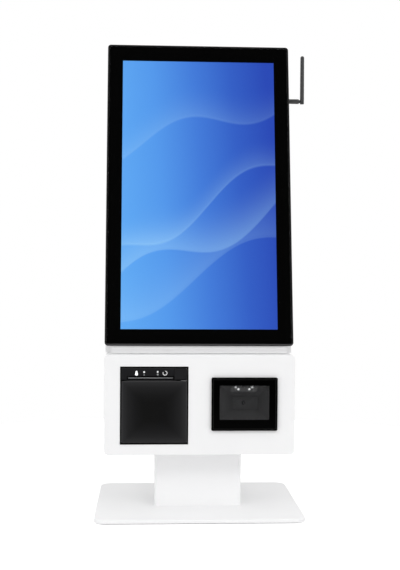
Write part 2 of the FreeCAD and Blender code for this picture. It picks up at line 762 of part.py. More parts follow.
def door_frame():
    """Folded lips behind the door's opening at its right, top and bottom."""
    x = DOOR_HALF_W + DOOR_GAP
    y0, y1 = HOUSING_BACK - CABINET_WALL - FRAME_LIP, HOUSING_BACK - CABINET_WALL
    t = CABINET_WALL
    ring = box(HINGE_X + 3 * KNUCKLE_R, x + t, y0, y1, DOOR_Z0 - t, DOOR_Z1 + t)
    return ring.cut(box(-DOOR_HALF_W, x, y0, y1, DOOR_Z0, DOOR_Z1))


def side_vents():
    """Rows of slots through both side walls, square to the display."""
    slots = []
    for i in range(LOUVRE_ROWS):
        height = CASE_H - SIDE_VENT_DROP + i * LOUVRE_PITCH
        middle = (CABINET_FRONT + CABINET_BACK) / 2
        slot = box(-BODY_W, BODY_W, middle - SIDE_VENT_W / 2, middle + SIDE_VENT_W / 2,
                   height, height + LOUVRE_H)
        slots.append(lean(slot))
    return slots


def upper_cabinet():
    outside = cabinet_solid(0)
    shell = outside.makeFillet(FOLD_R, fold_edges(outside)).cut(cabinet_solid(CABINET_WALL))
    side = (CASE_W - SHELL_W) / 2 + CABINET_LIP
    mouth = slab(side, CABINET_LIP, CASE_H - SHELL_TOP_INSET - CABINET_LIP, RIM_CORNER,
                 CABINET_FRONT - 1, CABINET_FRONT + CABINET_WALL + 1)
    shell = shell.cut(lean(mouth))
    x = DOOR_HALF_W + DOOR_GAP
    shell = shell.cut(box(-x, x, HOUSING_BACK - CABINET_WALL, HOUSING_BACK, DOOR_Z0, DOOR_Z1))
    shell = shell.cut(cable_slot(HOUSING_Z1, HOUSING_Z1 + CABINET_WALL))
    y, z = lean_yz(ANTENNA_DEPTH, CASE_H - ANTENNA_DROP)
    shell = shell.cut(rod(SOCKET_R + SCREW_CLEAR, V(BODY_W / 2 - 5, y, z), X_AXIS, 10))
    shell = shell.cut(side_vents())
    gap = DOOR_GAP / 2
    lugs = [knuckle(z0 + gap, z1 - gap) for z0, z1 in knuckle_spans()]
    return fuse([shell, door_frame()] + lugs)


def louvre(x, z):
    """A pressed hood over one vent slot, which stands out at its foot."""
    y = HOUSING_BACK
    out, t = LOUVRE_OUT, 1.0
    hood = [(y, z + LOUVRE_H + 2.0), (y, z + LOUVRE_H + 0.6), (y + out - t, z + 0.8),
            (y + out - t, z), (y + out, z)]
    return prism(hood, "x", x - LOUVRE_W / 2 - 1, x + LOUVRE_W / 2 + 1)


def service_door():
    """A folded tray door whose left edge is rolled round the hinge pins."""
    z0, z1 = DOOR_Z0 + DOOR_GAP, DOOR_Z1 - DOOR_GAP
    x, y, x1 = HINGE_X, HOUSING_BACK - KNUCKLE_R, DOOR_HALF_W
    t, inner = CABINET_WALL, HOUSING_BACK - CABINET_WALL
    fold = inner - DOOR_FLANGE
    door = fuse([
        box(x, x1, inner, HOUSING_BACK, z0, z1),
        rod(KNUCKLE_R, V(x, y, z0), Z_AXIS, z1 - z0),
        box(x1 - t, x1, fold, inner, z0, z1),
        box(x + 3 * KNUCKLE_R, x1, fold, inner, z0, z0 + t),
        box(x + 3 * KNUCKLE_R, x1, fold, inner, z1 - t, z1),
    ])
    door = door.cut(rod(DOOR_PIN_R + PIN_CLEAR, V(x, y, z0), Z_AXIS, z1 - z0))
    for a, b in knuckle_spans():
        door = door.cut(box(x - 2 * KNUCKLE_R, x + KNUCKLE_R + 0.6, y - 2 * KNUCKLE_R,
                            HOUSING_BACK, a, b))
    door = door.cut(rod(LOCK_R + SCREW_CLEAR, V(LOCK_X, fold, LOCK_Z), Y_AXIS, 2 * DOOR_FLANGE))
    hoods = []
    for cx in (-0.45 * DOOR_HALF_W, 0.3 * DOOR_HALF_W):
        for i in range(LOUVRE_ROWS):
            z = DOOR_Z1 - VENT_DROP - i * LOUVRE_PITCH
            door = door.cut(box(cx - LOUVRE_W / 2, cx + LOUVRE_W / 2, inner, HOUSING_BACK,
                                z, z + LOUVRE_H))
            hoods.append(louvre(cx, z))
    return fuse([door] + hoods)


def hinge_pins():
    y = HOUSING_BACK - KNUCKLE_R
    (a, b), (c, d) = knuckle_spans()
    gap = DOOR_GAP / 2
    return group([rod(DOOR_PIN_R, V(HINGE_X, y, a + gap), Z_AXIS, 2 * KNUCKLE_LEN),
                  rod(DOOR_PIN_R, V(HINGE_X, y, d - gap), -Z_AXIS, 2 * KNUCKLE_LEN)])


def lock_barrel():
    """The fixed body of the cam lock, with its face outside and its nut inside."""
    y = HOUSING_BACK
    nut_y = y - CABINET_WALL - 3.2
    face = rod(LOCK_FACE_R, V(LOCK_X, y, LOCK_Z), Y_AXIS, 2.0)
    body = rod(LOCK_R, V(LOCK_X, y - 16, LOCK_Z), Y_AXIS, 16)
    nut = hexagon(LOCK_R + 4, 3.2, V(LOCK_X, nut_y, LOCK_Z), -Y_AXIS)
    barrel = fuse([face, body, nut])
    return barrel.cut(rod(PLUG_R + PIN_CLEAR, V(LOCK_X, y - 20, LOCK_Z), Y_AXIS, 30))


def lock_plug():
    """The turning key plug, with a key slot and a square tail for the cam."""
    y = HOUSING_BACK
    plug = rod(PLUG_R, V(LOCK_X, y - 16.2, LOCK_Z), Y_AXIS, 17.8)
    tail = block(LOCK_X, LOCK_Z, 6, 6, y - 21, y - 16.2)
    return fuse([plug, tail]).cut(block(LOCK_X, LOCK_Z, 1.2, 8, y - 4, y + 2))


def lock_cam():
    """The cam, upright at rest so that the door is free. A quarter turn puts it behind the
    frame's lip."""
    y = HOUSING_BACK - 17.6
    reach, t = CAM_LEN - CAM_W / 2, CAM_THICK
    cam = box(LOCK_X - CAM_W / 2, LOCK_X + CAM_W / 2, y - t, y, LOCK_Z, LOCK_Z + reach)
    tip = rod(CAM_W / 2, V(LOCK_X, y - t, LOCK_Z + reach), Y_AXIS, t)
    heel = rod(8, V(LOCK_X, y - t, LOCK_Z), Y_AXIS, t)
    return fuse([cam, tip, heel]).cut(block(LOCK_X, LOCK_Z, 6.1, 6.1, y - t, y))


# Circuit boards behind the service door

def board_tray():
    """A sheet across the cabinet's mouth with a cable window and four pressed pillars."""
    d0 = CABINET_FRONT + CABINET_WALL + 0.2
    half_w = SHELL_W / 2 - CABINET_LIP + 12
    low, high = TRAY_UP - TRAY_H / 2, TRAY_UP + TRAY_H / 2
    plate = box(-half_w, half_w, d0, d0 + SHELL_WALL, low, high)
    plate = plate.cut(box(-40, 40, d0, d0 + SHELL_WALL, low + 5, low + 22))
    a = BOARD_SIZE / 2 - 8
    posts = [rod(3.5, V(sx * a, d0 + 1, TRAY_UP + sz * a), Y_AXIS, STANDOFF + 0.5)
             for sx in (-1, 1) for sz in (-1, 1)]
    return lean(fuse([plate] + posts))


def board_depth():
    return CABINET_FRONT + CABINET_WALL + 0.2 + SHELL_WALL + STANDOFF


def mainboard():
    """The computer's board with its port blocks, card slots and coils."""
    d0 = board_depth()
    top = d0 + BOARD_THICK
    low = TRAY_UP - BOARD_SIZE / 2
    board = block(0, TRAY_UP, BOARD_SIZE, BOARD_SIZE, d0, top)
    ports = [(-70, -54, 13), (-50, -36, 16), (-32, -16, 14), (-10, 6, 11), (10, 26, 9)]
    blocks = [box(a, b, top, top + h, low, low + 18) for a, b, h in ports]
    slots = [box(36 + 11 * i, 42 + 11 * i, top, top + 7, TRAY_UP - 40, TRAY_UP + 78)
             for i in range(2)]
    coils = [box(-70 + 13 * i, -61 + 13 * i, top, top + 6, TRAY_UP + 50, TRAY_UP + 59)
             for i in range(4)]
    return lean(fuse([board] + blocks + slots + coils))


def heat_sink():
    """A finned block on the processor."""
    d0 = board_depth() + BOARD_THICK + 0.3
    low, high = TRAY_UP - 36, TRAY_UP + 34
    foot = box(-58, 12, d0, d0 + 4, low, high)
    fins = [box(-58 + 7.5 * i, -56.5 + 7.5 * i, d0 + 4, d0 + 17, low, high) for i in range(10)]
    return lean(fuse([foot] + fins))


def power_supply():
    """The supply on the cabinet's floor: a folded case with a row of end vents."""
    z0 = HOUSING_Z1 + CABINET_WALL
    x0, y0 = SUPPLY_X, -SUPPLY_D + CABLE_SLOT_D / 2 - 4
    case = box(x0, x0 + SUPPLY_W, y0, y0 + SUPPLY_D, z0, z0 + SUPPLY_H)
    for i in range(6):
        z = z0 + 10 + i * 7
        case = case.cut(box(x0 - 1, x0 + 4, y0 + 8, y0 + SUPPLY_D - 8, z, z + 3))
    return case


# Antenna

def elbow():
    y, z = lean_yz(ANTENNA_DEPTH, CASE_H - ANTENNA_DROP)
    return V(ELBOW_X, y, z)


def along_x(x):
    """The point at x on the axis of the antenna's barrel."""
    place = elbow()
    return V(x, place.y, place.z)


def antenna_socket():
    """A threaded socket through the cabinet's side, with a nut outside and a flange inside."""
    x = BODY_W / 2
    body = rod(SOCKET_R, along_x(x - 9), X_AXIS, 12)
    nut = hexagon(SOCKET_R + 1.5, 2.0, along_x(x), -X_AXIS)
    flange = rod(SOCKET_R + 1.8, along_x(x - CABINET_WALL - 2.0), X_AXIS, 2.0)
    return fuse([body, nut, flange])


def antenna_base():
    """The swivelling barrel: a grooved nut end, a plain sleeve and a flat tongue."""
    x0 = BODY_W / 2 + 3.3
    p = elbow()
    sleeve = BARREL_END - BARREL_TAPER
    barrel = rod(BARREL_R, along_x(x0), X_AXIS, sleeve - x0)
    taper = Part.makeCone(BARREL_R, BARREL_R - BARREL_TAPER, BARREL_TAPER, along_x(sleeve), X_AXIS)
    half, r = TONGUE / 2, BARREL_R - 1.9
    tongue = box(BARREL_END - 0.5, p.x, p.y - half, p.y + half, p.z - r, p.z + r)
    tip = rod(r, V(p.x, p.y - half, p.z), Y_AXIS, TONGUE)
    base = fuse([barrel, taper, tongue, tip])
    for i in range(3):
        start = along_x(x0 + 1.6 + 2.0 * i)
        ring = rod(BARREL_R + 1, start, X_AXIS, 0.8).cut(rod(BARREL_R - 0.4, start, X_AXIS, 0.8))
        base = base.cut(ring)
    return base.cut(rod(ELBOW_PIN_R + SCREW_CLEAR, V(p.x, p.y - 5, p.z), Y_AXIS, 10))


def antenna_pin():
    p = elbow()
    return rod(ELBOW_PIN_R, V(p.x, p.y - WHIP_R + 0.3, p.z), Y_AXIS, 2 * WHIP_R - 0.6)


def antenna_whip():
    """A tapered rod with a domed tip, forked at its foot round the barrel's tongue."""
    p = elbow()
    foot, top = p.z - WHIP_FOOT, p.z + WHIP_RISE - WHIP_TIP_R
    shaft = Part.makeCone(WHIP_R, WHIP_TIP_R, top - foot, V(p.x, p.y, foot))
    whip = fuse([shaft, Part.makeSphere(WHIP_TIP_R, V(p.x, p.y, top))])
    half = TONGUE / 2 + 0.25
    whip = whip.cut(box(p.x - 6, p.x + 6, p.y - half, p.y + half, foot - 1, p.z + 3.4))
    across = V(p.x, p.y - 6, p.z)
    whip = whip.cut(rod(ELBOW_PIN_R + PIN_CLEAR, across, Y_AXIS, 12))
    reach = math.hypot(ELBOW_X - BARREL_END, BARREL_R - BARREL_TAPER) - 0.4
    above = box(p.x - 8, p.x + 8, p.y - 6, p.y + 6, p.z, p.z + WHIP_RISE + 1)
    return whip.common(fuse([rod(reach, across, Y_AXIS, 12), above]))


# Gears

def involute(base_r, r):
    """How far round the involute of a base circle has turned at radius r."""
    roll = math.sqrt(max(r * r / (base_r * base_r) - 1, 0))
    return roll - math.atan(roll)


def gear_outline(teeth, phase, steps=3):
    """The outline of an involute gear, with one tooth centred at angle phase."""
    pitch_r = GEAR_MODULE * teeth / 2
    base_r = pitch_r * math.cos(math.radians(20))
    tip_r, root_r = pitch_r + GEAR_MODULE, pitch_r - 1.25 * GEAR_MODULE
    start_r = max(base_r, root_r)
    half = math.pi / (2 * teeth) - TOOTH_BACKLASH / (2 * pitch_r) + involute(base_r, pitch_r)
    radii = [start_r + (tip_r - start_r) * i / steps for i in range(steps + 1)]
    flank = [(r, half - involute(base_r, r)) for r in radii]
    if start_r > root_r:
        flank = [(root_r, flank[0][1])] + flank
    tooth = [(r, -a) for r, a in flank] + flank[::-1]
    points = []
    for k in range(teeth):
        middle = phase + 2 * math.pi * k / teeth
        points += [(r * math.cos(middle + a), r * math.sin(middle + a)) for r, a in tooth]
    return points


def mesh_phase(phase, teeth, angle, next_teeth):
    """The phase of the next gear so that it meshes with this one along angle."""
    offset = ((angle - phase) / (2 * math.pi / teeth)) % 1.0
    return angle + math.pi - (0.5 - offset) * 2 * math.pi / next_teeth


def gear_train():
    """Centres and phases of the platen, idler and pinion gears. The idler lies straight behind
    the platen on the door's swing, so that the teeth part cleanly when the door opens."""
    back = math.atan2(HINGE_Y - PLATEN_Y, PLATEN_Z - HINGE_Z)
    reach = GEAR_MODULE * (PLATEN_TEETH + IDLER_TEETH) / 2
    iy, iz = PLATEN_Y + reach * math.cos(back), PLATEN_Z + reach * math.sin(back)
    turn = math.radians(PINION_ANGLE)
    reach = GEAR_MODULE * (IDLER_TEETH + PINION_TEETH) / 2
    py, pz = iy + reach * math.cos(turn), iz + reach * math.sin(turn)
    idler_phase = mesh_phase(0.0, PLATEN_TEETH, back, IDLER_TEETH)
    pinion_phase = mesh_phase(idler_phase, IDLER_TEETH, turn, PINION_TEETH)
    return (PLATEN_Y, PLATEN_Z, 0.0), (iy, iz, idler_phase), (py, pz, pinion_phase)


def gear(teeth, place, bore, hub):
    """A spur gear beside the chassis with a raised hub and a plain bore."""
    y, z, phase = place
    x0 = PATH_X + GEAR_X
    outline = [(y + a, z + b) for a, b in gear_outline(teeth, phase)]
    wheel = prism(outline, "x", x0, x0 + GEAR_THICK)
    wheel = wheel.fuse(rod(hub, V(x0, y, z), X_AXIS, GEAR_THICK + 1.0))
    return wheel.cut(rod(bore, V(x0, y, z), X_AXIS, GEAR_THICK + 1.0))


def platen_gear():
    return gear(PLATEN_TEETH, gear_train()[0], SHAFT_R + 0.05, 4.6)


def idler_gear():
    return gear(IDLER_TEETH, gear_train()[1], SHAFT_R + PIN_CLEAR, 5.0)


def motor_pinion():
    """The pinion with the motor's own shaft."""
    y, z, phase = gear_train()[2]
    wheel = gear(PINION_TEETH, (y, z, phase), 0.9, 3.6)
    x0 = WALL_IN - 2
    shaft = rod(MOTOR_SHAFT_R, V(PATH_X + x0, y, z), X_AXIS, GEAR_X + GEAR_THICK + 1.5 - x0)
    return fuse([wheel, shaft])


def feed_motor():
    """The stepper can inside the right-hand wall, with its flange, boss and shaft bore."""
    y, z, phase = gear_train()[2]
    x1 = PATH_X + WALL_IN - 0.2
    can = rod(MOTOR_R, V(x1 - MOTOR_LEN, y, z), X_AXIS, MOTOR_LEN - 0.8)
    plate = box(x1 - 0.8, x1, y - 6, y + 6, z - MOTOR_R - 0.2, z + MOTOR_R + 4)
    boss = rod(MOTOR_SHAFT_R + 1.3, V(x1 - 1, y, z), X_AXIS, 3.0)
    motor = fuse([can, plate, boss])
    return motor.cut(rod(MOTOR_SHAFT_R + PIN_CLEAR, V(x1 - 4, y, z), X_AXIS, 10))


# Printer front

def bezel_bosses():
    """Blocks inside the ring that the chassis lugs screw to."""
    made = []
    for low in (CHASSIS_Z0 + LUG_UP + 3, CHASSIS_Z0 + LUG_UP + LUG_H - 10):
        for x in (OPEN_X0 - 1, OPEN_X1 + 1 - BOSS_W):
            made.append(box(x, x + BOSS_W, HINGE_Y + 1.2, BEZEL_BACK, low, low + 7))
    return made


def printer_bezel():
    """The front frame with the fixed strip above the paper slot and ears behind the panel."""
    frame = block(PRINTER_X, PRINTER_Z, PRINTER_W, PRINTER_H, PRINTER_FACE, BEZEL_BACK)
    frame = frame.makeChamfer(0.6, front_edges(frame, PRINTER_FACE))
    ear_y = HOUSING_FRONT + SHEET + 0.2
    ear = block(PRINTER_X, PRINTER_Z, PRINTER_W + 2 * BEZEL_EAR, PRINTER_H - 28, ear_y, ear_y + 2)
    frame = fuse([frame, ear])
    frame = frame.cut(box(OPEN_X0, OPEN_X1, PRINTER_FACE, BEZEL_BACK, OPEN_Z0, OPEN_Z1))
    strip = box(OPEN_X0, OPEN_X1, PRINTER_FACE, STRIP_BACK, STRIP_Z, OPEN_Z1)
    frame = fuse([frame, strip] + bezel_bosses())
    frame = frame.cut(box(SLOT_X0, SLOT_X1, PRINTER_FACE, STRIP_BACK, STRIP_Z, SLOT_TOP))
    gap = BUTTON_GAP
    hole = rod(FEED_R + gap, V(FEED_X, PRINTER_FACE, MARK_Z), Y_AXIS, BEZEL_FRONT)
    frame = frame.cut(hole)
    frame = frame.cut(box(RELEASE_X0 - gap, RELEASE_X1 + gap, PRINTER_FACE, STRIP_BACK,
                          STRIP_Z, OPEN_Z1))
    frame = frame.cut(lens_shapes(SCREW_CLEAR))
    for x, axis in ((OPEN_X0 + 1, -X_AXIS), (OPEN_X1 - 1, X_AXIS)):
        frame = frame.cut(rod(HINGE_ROD_R + SCREW_CLEAR, V(x, HINGE_Y, HINGE_Z), axis, 2.2))
    return frame


def flask(x, grow):
    """The tall indicator window: wide at its foot and drawn in to a round top."""
    foot, top = 2.6 + grow, 1.5 + grow
    outline = [(x - foot, MARK_Z - 4.2 - grow), (x + foot, MARK_Z - 4.2 - grow),
               (x + foot, MARK_Z - 1.0), (x + top, MARK_Z + 2.7), (x - top, MARK_Z + 2.7),
               (x - foot, MARK_Z - 1.0)]
    crown = rod(top, V(x, PRINTER_FACE, MARK_Z + 2.7), Y_AXIS, BEZEL_FRONT)
    return fuse([prism(outline, "y", PRINTER_FACE, STRIP_BACK), crown])


def lens_shapes(grow):
    """The indicator windows: a tall one, then two pairs of dots."""
    left, middle, right = LENS_COLUMNS
    made = [flask(PRINTER_X + left, grow)]
    dots = ((middle, 1.8, 2.1), (middle, -3.4, 1.1), (right, 2.2, 1.9), (right, -2.6, 1.9))
    for dx, dz, r in dots:
        start = V(PRINTER_X + dx, PRINTER_FACE, MARK_Z + dz)
        made.append(rod(r + grow, start, Y_AXIS, BEZEL_FRONT))
    return made


def led_lenses():
    return group([s.translated(V(0, -0.1, 0)) for s in lens_shapes(0)])


def tear_bar():
    """A toothed steel strip across the paper slot, folded up behind the fixed strip."""
    y0, y1 = PRINTER_FACE + 0.9, STRIP_BACK + 1.3
    x0, x1 = SLOT_X0 + SCREW_CLEAR, SLOT_X1 - SCREW_CLEAR
    count = 28
    pitch = (x1 - x0) / count
    edge = []
    for i in range(count):
        edge += [(x0 + i * pitch, y0 + 1.0), (x0 + (i + 0.5) * pitch, y0)]
    outline = edge + [(x1, y0 + 1.0), (x1, y1), (x0, y1)]
    bar = prism(outline, "z", TEAR_Z, TEAR_Z + TEAR_THICK)
    web_top = SLOT_TOP + TEAR_WEB
    bar = fuse([bar, box(x0, x1, STRIP_BACK + 0.1, y1, TEAR_Z, web_top)])
    half = FEED_R + FEED_RIM + 0.6
    return bar.cut(box(FEED_X - half, FEED_X + half, STRIP_BACK, y1, MARK_Z - half, web_top))


def feed_button():
    """A round key with a ring pressed into its face, held by a rim behind the strip."""
    y, behind = PRINTER_FACE - 0.3, STRIP_BACK + 0.1
    cap = rod(FEED_R, V(FEED_X, y, MARK_Z), Y_AXIS, behind - y)
    rim = rod(FEED_R + FEED_RIM, V(FEED_X, behind, MARK_Z), Y_AXIS, 0.9)
    stem_end = SWITCH_Y - FEED_TRAVEL - 0.1
    stem = rod(1.8, V(FEED_X, behind, MARK_Z), Y_AXIS, stem_end - behind)
    ring = rod(FEED_R - 0.4, V(FEED_X, y, MARK_Z), Y_AXIS, 0.3)
    ring = ring.cut(rod(FEED_R - 1.6, V(FEED_X, y, MARK_Z), Y_AXIS, 0.3))
    return fuse([cap, rim, stem]).cut(ring)


def release_button():
    """The square key that frees the printer door: a hollow cap with a rim and a push rod."""
    y, back = PRINTER_FACE - 0.2, STRIP_BACK + 2.0
    low, high = STRIP_Z + BUTTON_GAP, OPEN_Z1 - BUTTON_GAP
    cap = box(RELEASE_X0, RELEASE_X1, y, back, low, high)
    cap = cap.makeFillet(0.6, front_edges(cap, y))
    hollow = box(RELEASE_X0 + 1.6, RELEASE_X1 - 1.6, y + 2, back, low + 1.6, high - 1.6)
    rim = box(RELEASE_X0 - 1.4, RELEASE_X1 + 1.0, STRIP_BACK + 0.2, back, low + 2, high - 2)
    start = V((RELEASE_X0 + RELEASE_X1) / 2, y + 1, (low + high) / 2)
    push = rod(PUSH_R, start, Y_AXIS, STOP_Y - RELEASE_TRAVEL - 0.1 - start.y)
    return fuse([fuse([cap, rim]).cut(hollow), push])


def button_board():
    """A small circuit board behind the strip with its lamps and the feed switch."""
    y = SWITCH_Y + 0.5
    low = SLOT_TOP + 1.3
    board = box(PRINTER_X - 42, PRINTER_X + 32, y, y + BOARD_THICK, low, OPEN_Z1 - 2.2)
    lamps = [rod(1.8, V(PRINTER_X + dx, y - 1.6, MARK_Z), Y_AXIS, 1.6) for dx in LENS_COLUMNS]
    switch = block(FEED_X, MARK_Z, 6, 6, SWITCH_Y, y)
    posts = [rod(1.5, V(PRINTER_X + dx, STRIP_BACK + 0.2, OPEN_Z1 - 4.6), Y_AXIS, 3.4)
             for dx in (-39, -6)]
    return fuse([board, switch] + lamps + posts)


def arc_points(y, z, r, a0, a1, steps):
    """Points on an arc in the y-z plane. Zero degrees is to the rear and 90 is up."""
    angles = [math.radians(a0 + (a1 - a0) * i / steps) for i in range(steps + 1)]
    return [(y + r * math.cos(a), z + r * math.sin(a)) for a in angles]


def printer_door():
    """The door: a plain skin with a rolled foot, cheeks that carry the platen, a cross bar
    for the fixed blade, and ribs that keep the paper roll in its bucket."""
    x0, x1 = OPEN_X0 + FACE_DOOR_GAP, OPEN_X1 - FACE_DOOR_GAP
    skin = box(x0, x1, PRINTER_FACE, HINGE_Y, HINGE_Z, FACE_DOOR_TOP)
    rims = [e for e in front_edges(skin, PRINTER_FACE) if e.BoundBox.ZMin > FACE_DOOR_TOP - 1e-6]
    skin = skin.makeChamfer(1.0, rims)
    roll = rod(DOOR_SKIN, V(x0, HINGE_Y, HINGE_Z), X_AXIS, x1 - x0)
    root = HINGE_Y - 0.5
    front = BUCKET_Y - ROLL_R - RIB_GAP
    low, high = ROLL_Z - RIB_REACH, ROLL_Z + RIB_REACH
    rib = [(root, low), (front, low + RIB_SLOPE), (front, high - RIB_SLOPE), (root, high)]
    outer = PAPER_W / 2 - RIB_IN
    spread = (-outer, -RIB_MIDDLE, RIB_MIDDLE, outer)
    ribs = [prism(rib, "x", PATH_X + x - 1, PATH_X + x + 1) for x in spread]
    y, z = PLATEN_Y, PLATEN_Z
    cheek = [(root, HINGE_Z + 20), (HINGE_Y + 6, HINGE_Z + 30), (y + 3, z - 18), (y + 5.4, z),
             (y + 3, z + 5.2), (root, z + 5.2)]
    cheeks = both_sides(lambda a, b: prism(cheek, "x", a, b), CHEEK_X, CHEEK_X + CHEEK_THICK)
    reach = CHEEK_X + CHEEK_THICK
    bar = box(PATH_X - reach, PATH_X + reach, HINGE_Y + 0.2, y - 6.4, FACE_DOOR_TOP - 1.4,
              BLADE_Z - 0.1 - FIXED_BLADE)
    tie = box(PATH_X - reach, PATH_X + reach, root, y - 6.4, FACE_DOOR_TOP - 1.4, FACE_DOOR_TOP)
    door = fuse([skin, roll, bar, tie] + ribs + cheeks)
    door = door.cut(rod(SHAFT_R + SCREW_CLEAR, V(PATH_X - 60, y, z), X_AXIS, 120))
    return door.cut(rod(HINGE_ROD_R + PIN_CLEAR, V(x0, HINGE_Y, HINGE_Z), X_AXIS, x1 - x0))


def printer_pin():
    return rod(HINGE_ROD_R, V(OPEN_X0 - 0.8, HINGE_Y, HINGE_Z), X_AXIS, OPEN_X1 - OPEN_X0 + 1.6)


# Printer inside

def bush_notch():
    """The flared mouth through the side walls that the bushes swing into."""
    out = math.atan2(PLATEN_Y - HINGE_Y, HINGE_Z - PLATEN_Z)
    c, s = math.cos(out), math.sin(out)
    length, h0, h1 = 14.0, BUSH_R + BUSH_GAP, BUSH_R + BUSH_GAP + 0.7
    corners = [(0, -h0), (length, -h1), (length, h1), (0, h0)]
    outline = [(PLATEN_Y + a * c - b * s, PLATEN_Z + a * s + b * c) for a, b in corners]
    mouth = prism(outline, "x", PATH_X - 60, PATH_X + 60)
    return mouth.fuse(rod(BUSH_R + BUSH_GAP, V(PATH_X - 60, PLATEN_Y, PLATEN_Z), X_AXIS, 120))


def printer_chassis():
    """Side walls with bush notches, joined by the round paper bucket, a cross wall and a
    roof, with lugs that reach out to the front frame and a tab that stops the release key."""
    low, high, front, back = CHASSIS_Z0, CHASSIS_Z1, CHASSIS_Y0, CHASSIS_Y1
    side = [(front, low + 10), (front + 10, low), (back - 8, low), (back, low + 8), (back, high),
            (front, high)]
    parts = both_sides(lambda a, b: prism(side, "x", a, b), WALL_IN, WALL_OUT)
    span = WALL_IN + 0.5
    x0, x1 = PATH_X - span, PATH_X + span
    inner = arc_points(BUCKET_Y, BUCKET_Z, BUCKET_R, BUCKET_FROM, BUCKET_TO, 20)
    outer = arc_points(BUCKET_Y, BUCKET_Z, BUCKET_R + CHASSIS_WALL, BUCKET_TO, BUCKET_FROM, 20)
    parts.append(prism(inner + outer, "x", x0, x1))
    y, z = inner[-1]
    parts.append(box(x0, x1, y, y + CHASSIS_WALL, z - 1, high))
    parts.append(box(x0, x1, front + 6, back, high - 2, high))
    lug_y = BEZEL_BACK + 0.2
    for a, b in ((OPEN_X0 - 1, PATH_X - WALL_OUT + 1), (PATH_X + WALL_OUT - 1, OPEN_X1 + 1)):
        parts.append(box(a, b, lug_y, lug_y + CHASSIS_WALL, low + LUG_UP, low + LUG_UP + LUG_H))
    stop_x = (RELEASE_X0 + RELEASE_X1) / 2 + PUSH_R
    parts.append(box(PATH_X + WALL_OUT - 1, stop_x, STOP_Y, STOP_Y + CHASSIS_WALL, high - 7, high))
    chassis = fuse(parts).cut(bush_notch())
    platen, idler, pinion = gear_train()
    wall = PATH_X + WALL_OUT
    stud = rod(SHAFT_R, V(wall - 1, idler[0], idler[1]), X_AXIS, GEAR_X + GEAR_THICK + 2 - WALL_OUT)
    chassis = fuse([chassis, stud])
    return chassis.cut(rod(MOTOR_SHAFT_R + 1.5, V(wall - 4, pinion[0], pinion[1]), X_AXIS, 6))


def platen_roller():
    start = V(PATH_X - PAPER_W / 2 - 0.5, PLATEN_Y, PLATEN_Z)
    tube = rod(PLATEN_R, start, X_AXIS, PAPER_W + 1)
    return tube.cut(rod(SHAFT_R + 0.05, start, X_AXIS, PAPER_W + 1))


def platen_shaft():
    x0, x1 = -CHEEK_X - CHEEK_THICK - 1, GEAR_X + GEAR_THICK + 1.5
    return rod(SHAFT_R, V(PATH_X + x0, PLATEN_Y, PLATEN_Z), X_AXIS, x1 - x0)


def platen_bushes():
    def bush(a, b):
        ring = rod(BUSH_R, V(a, PLATEN_Y, PLATEN_Z), X_AXIS, b - a)
        return ring.cut(rod(SHAFT_R + PIN_CLEAR, V(a, PLATEN_Y, PLATEN_Z), X_AXIS, b - a))
    return group(both_sides(bush, WALL_IN + 0.1, CHEEK_X - 0.3))


def print_head():
    """The heating bar on its finned aluminium block, just behind the platen."""
    y = PLATEN_Y + PLATEN_R + HEAD_GAP
    x0, x1 = PATH_X - INSIDE_HALF, PATH_X + INSIDE_HALF
    z = PLATEN_Z
    bar = box(x0, x1, y, y + 1.0, z - 7, z + 7)
    plate = box(x0, x1, y + 1.0, y + 3.0, z - 9, z + 8)
    fins = [box(x0, x1, y + 3.0, y + 6.0, z - 9 + 3.9 * i, z - 7.6 + 3.9 * i) for i in range(5)]
    return fuse([bar, plate] + fins)


def cutter_frame():
    """The guide that the cutter blade slides in, under the chassis roof."""
    y0, y1 = PLATEN_Y + PLATEN_R + 1.5, PLATEN_Y + PLATEN_R + 35
    x0, x1 = PATH_X - INSIDE_HALF, PATH_X + INSIDE_HALF
    frame = box(x0, x1, y0, y1, BLADE_Z - 0.8, CHASSIS_Z1 - 2.3)
    frame = frame.cut(box(x0 + 3, x1 - 3, y0, BLADE_Y + BLADE_LEN + 0.3, BLADE_Z - 0.3,
                          BLADE_Z + BLADE_THICK + 0.3))
    return frame.cut(box(x0 + 10, x1 - 10, y0 + 6, y1 - 6, BLADE_Z + BLADE_THICK + 0.3,
                         CHASSIS_Z1 - 4))


def cutter_blade():
    """The moving blade: a thin plate whose front edge is a shallow V."""
    y0, y1 = BLADE_Y, BLADE_Y + BLADE_LEN
    x0, x1 = PATH_X - INSIDE_HALF + 3.3, PATH_X + INSIDE_HALF - 3.3
    outline = [(x0, y0), (PATH_X, y0 + BLADE_VEE), (x1, y0), (x1, y1), (x0, y1)]
    return prism(outline, "z", BLADE_Z, BLADE_Z + BLADE_THICK)


def fixed_blade():
    """The counter blade on the door's cross bar. Its edge lies where the moving blade's V has
    just passed it at the end of the stroke."""
    top = BLADE_Z - 0.1
    edge = BLADE_Y + BLADE_VEE - BLADE_STROKE + BLADE_LAP
    x0, x1 = PATH_X - INSIDE_HALF, PATH_X + INSIDE_HALF
    return box(x0, x1, HINGE_Y + 0.8, edge, top - FIXED_BLADE, top)


def paper_roll():
    start = V(PATH_X - PAPER_W / 2, BUCKET_Y, ROLL_Z)
    roll = rod(ROLL_R, start, X_AXIS, PAPER_W)
    return roll.cut(rod(CORE_R, start, X_AXIS, PAPER_W))


def paper_core():
    start = V(PATH_X - PAPER_W / 2 - 0.5, BUCKET_Y, ROLL_Z)
    core = rod(CORE_R - 0.05, start, X_AXIS, PAPER_W + 1)
    return core.cut(rod(CORE_BORE, start, X_AXIS, PAPER_W + 1))


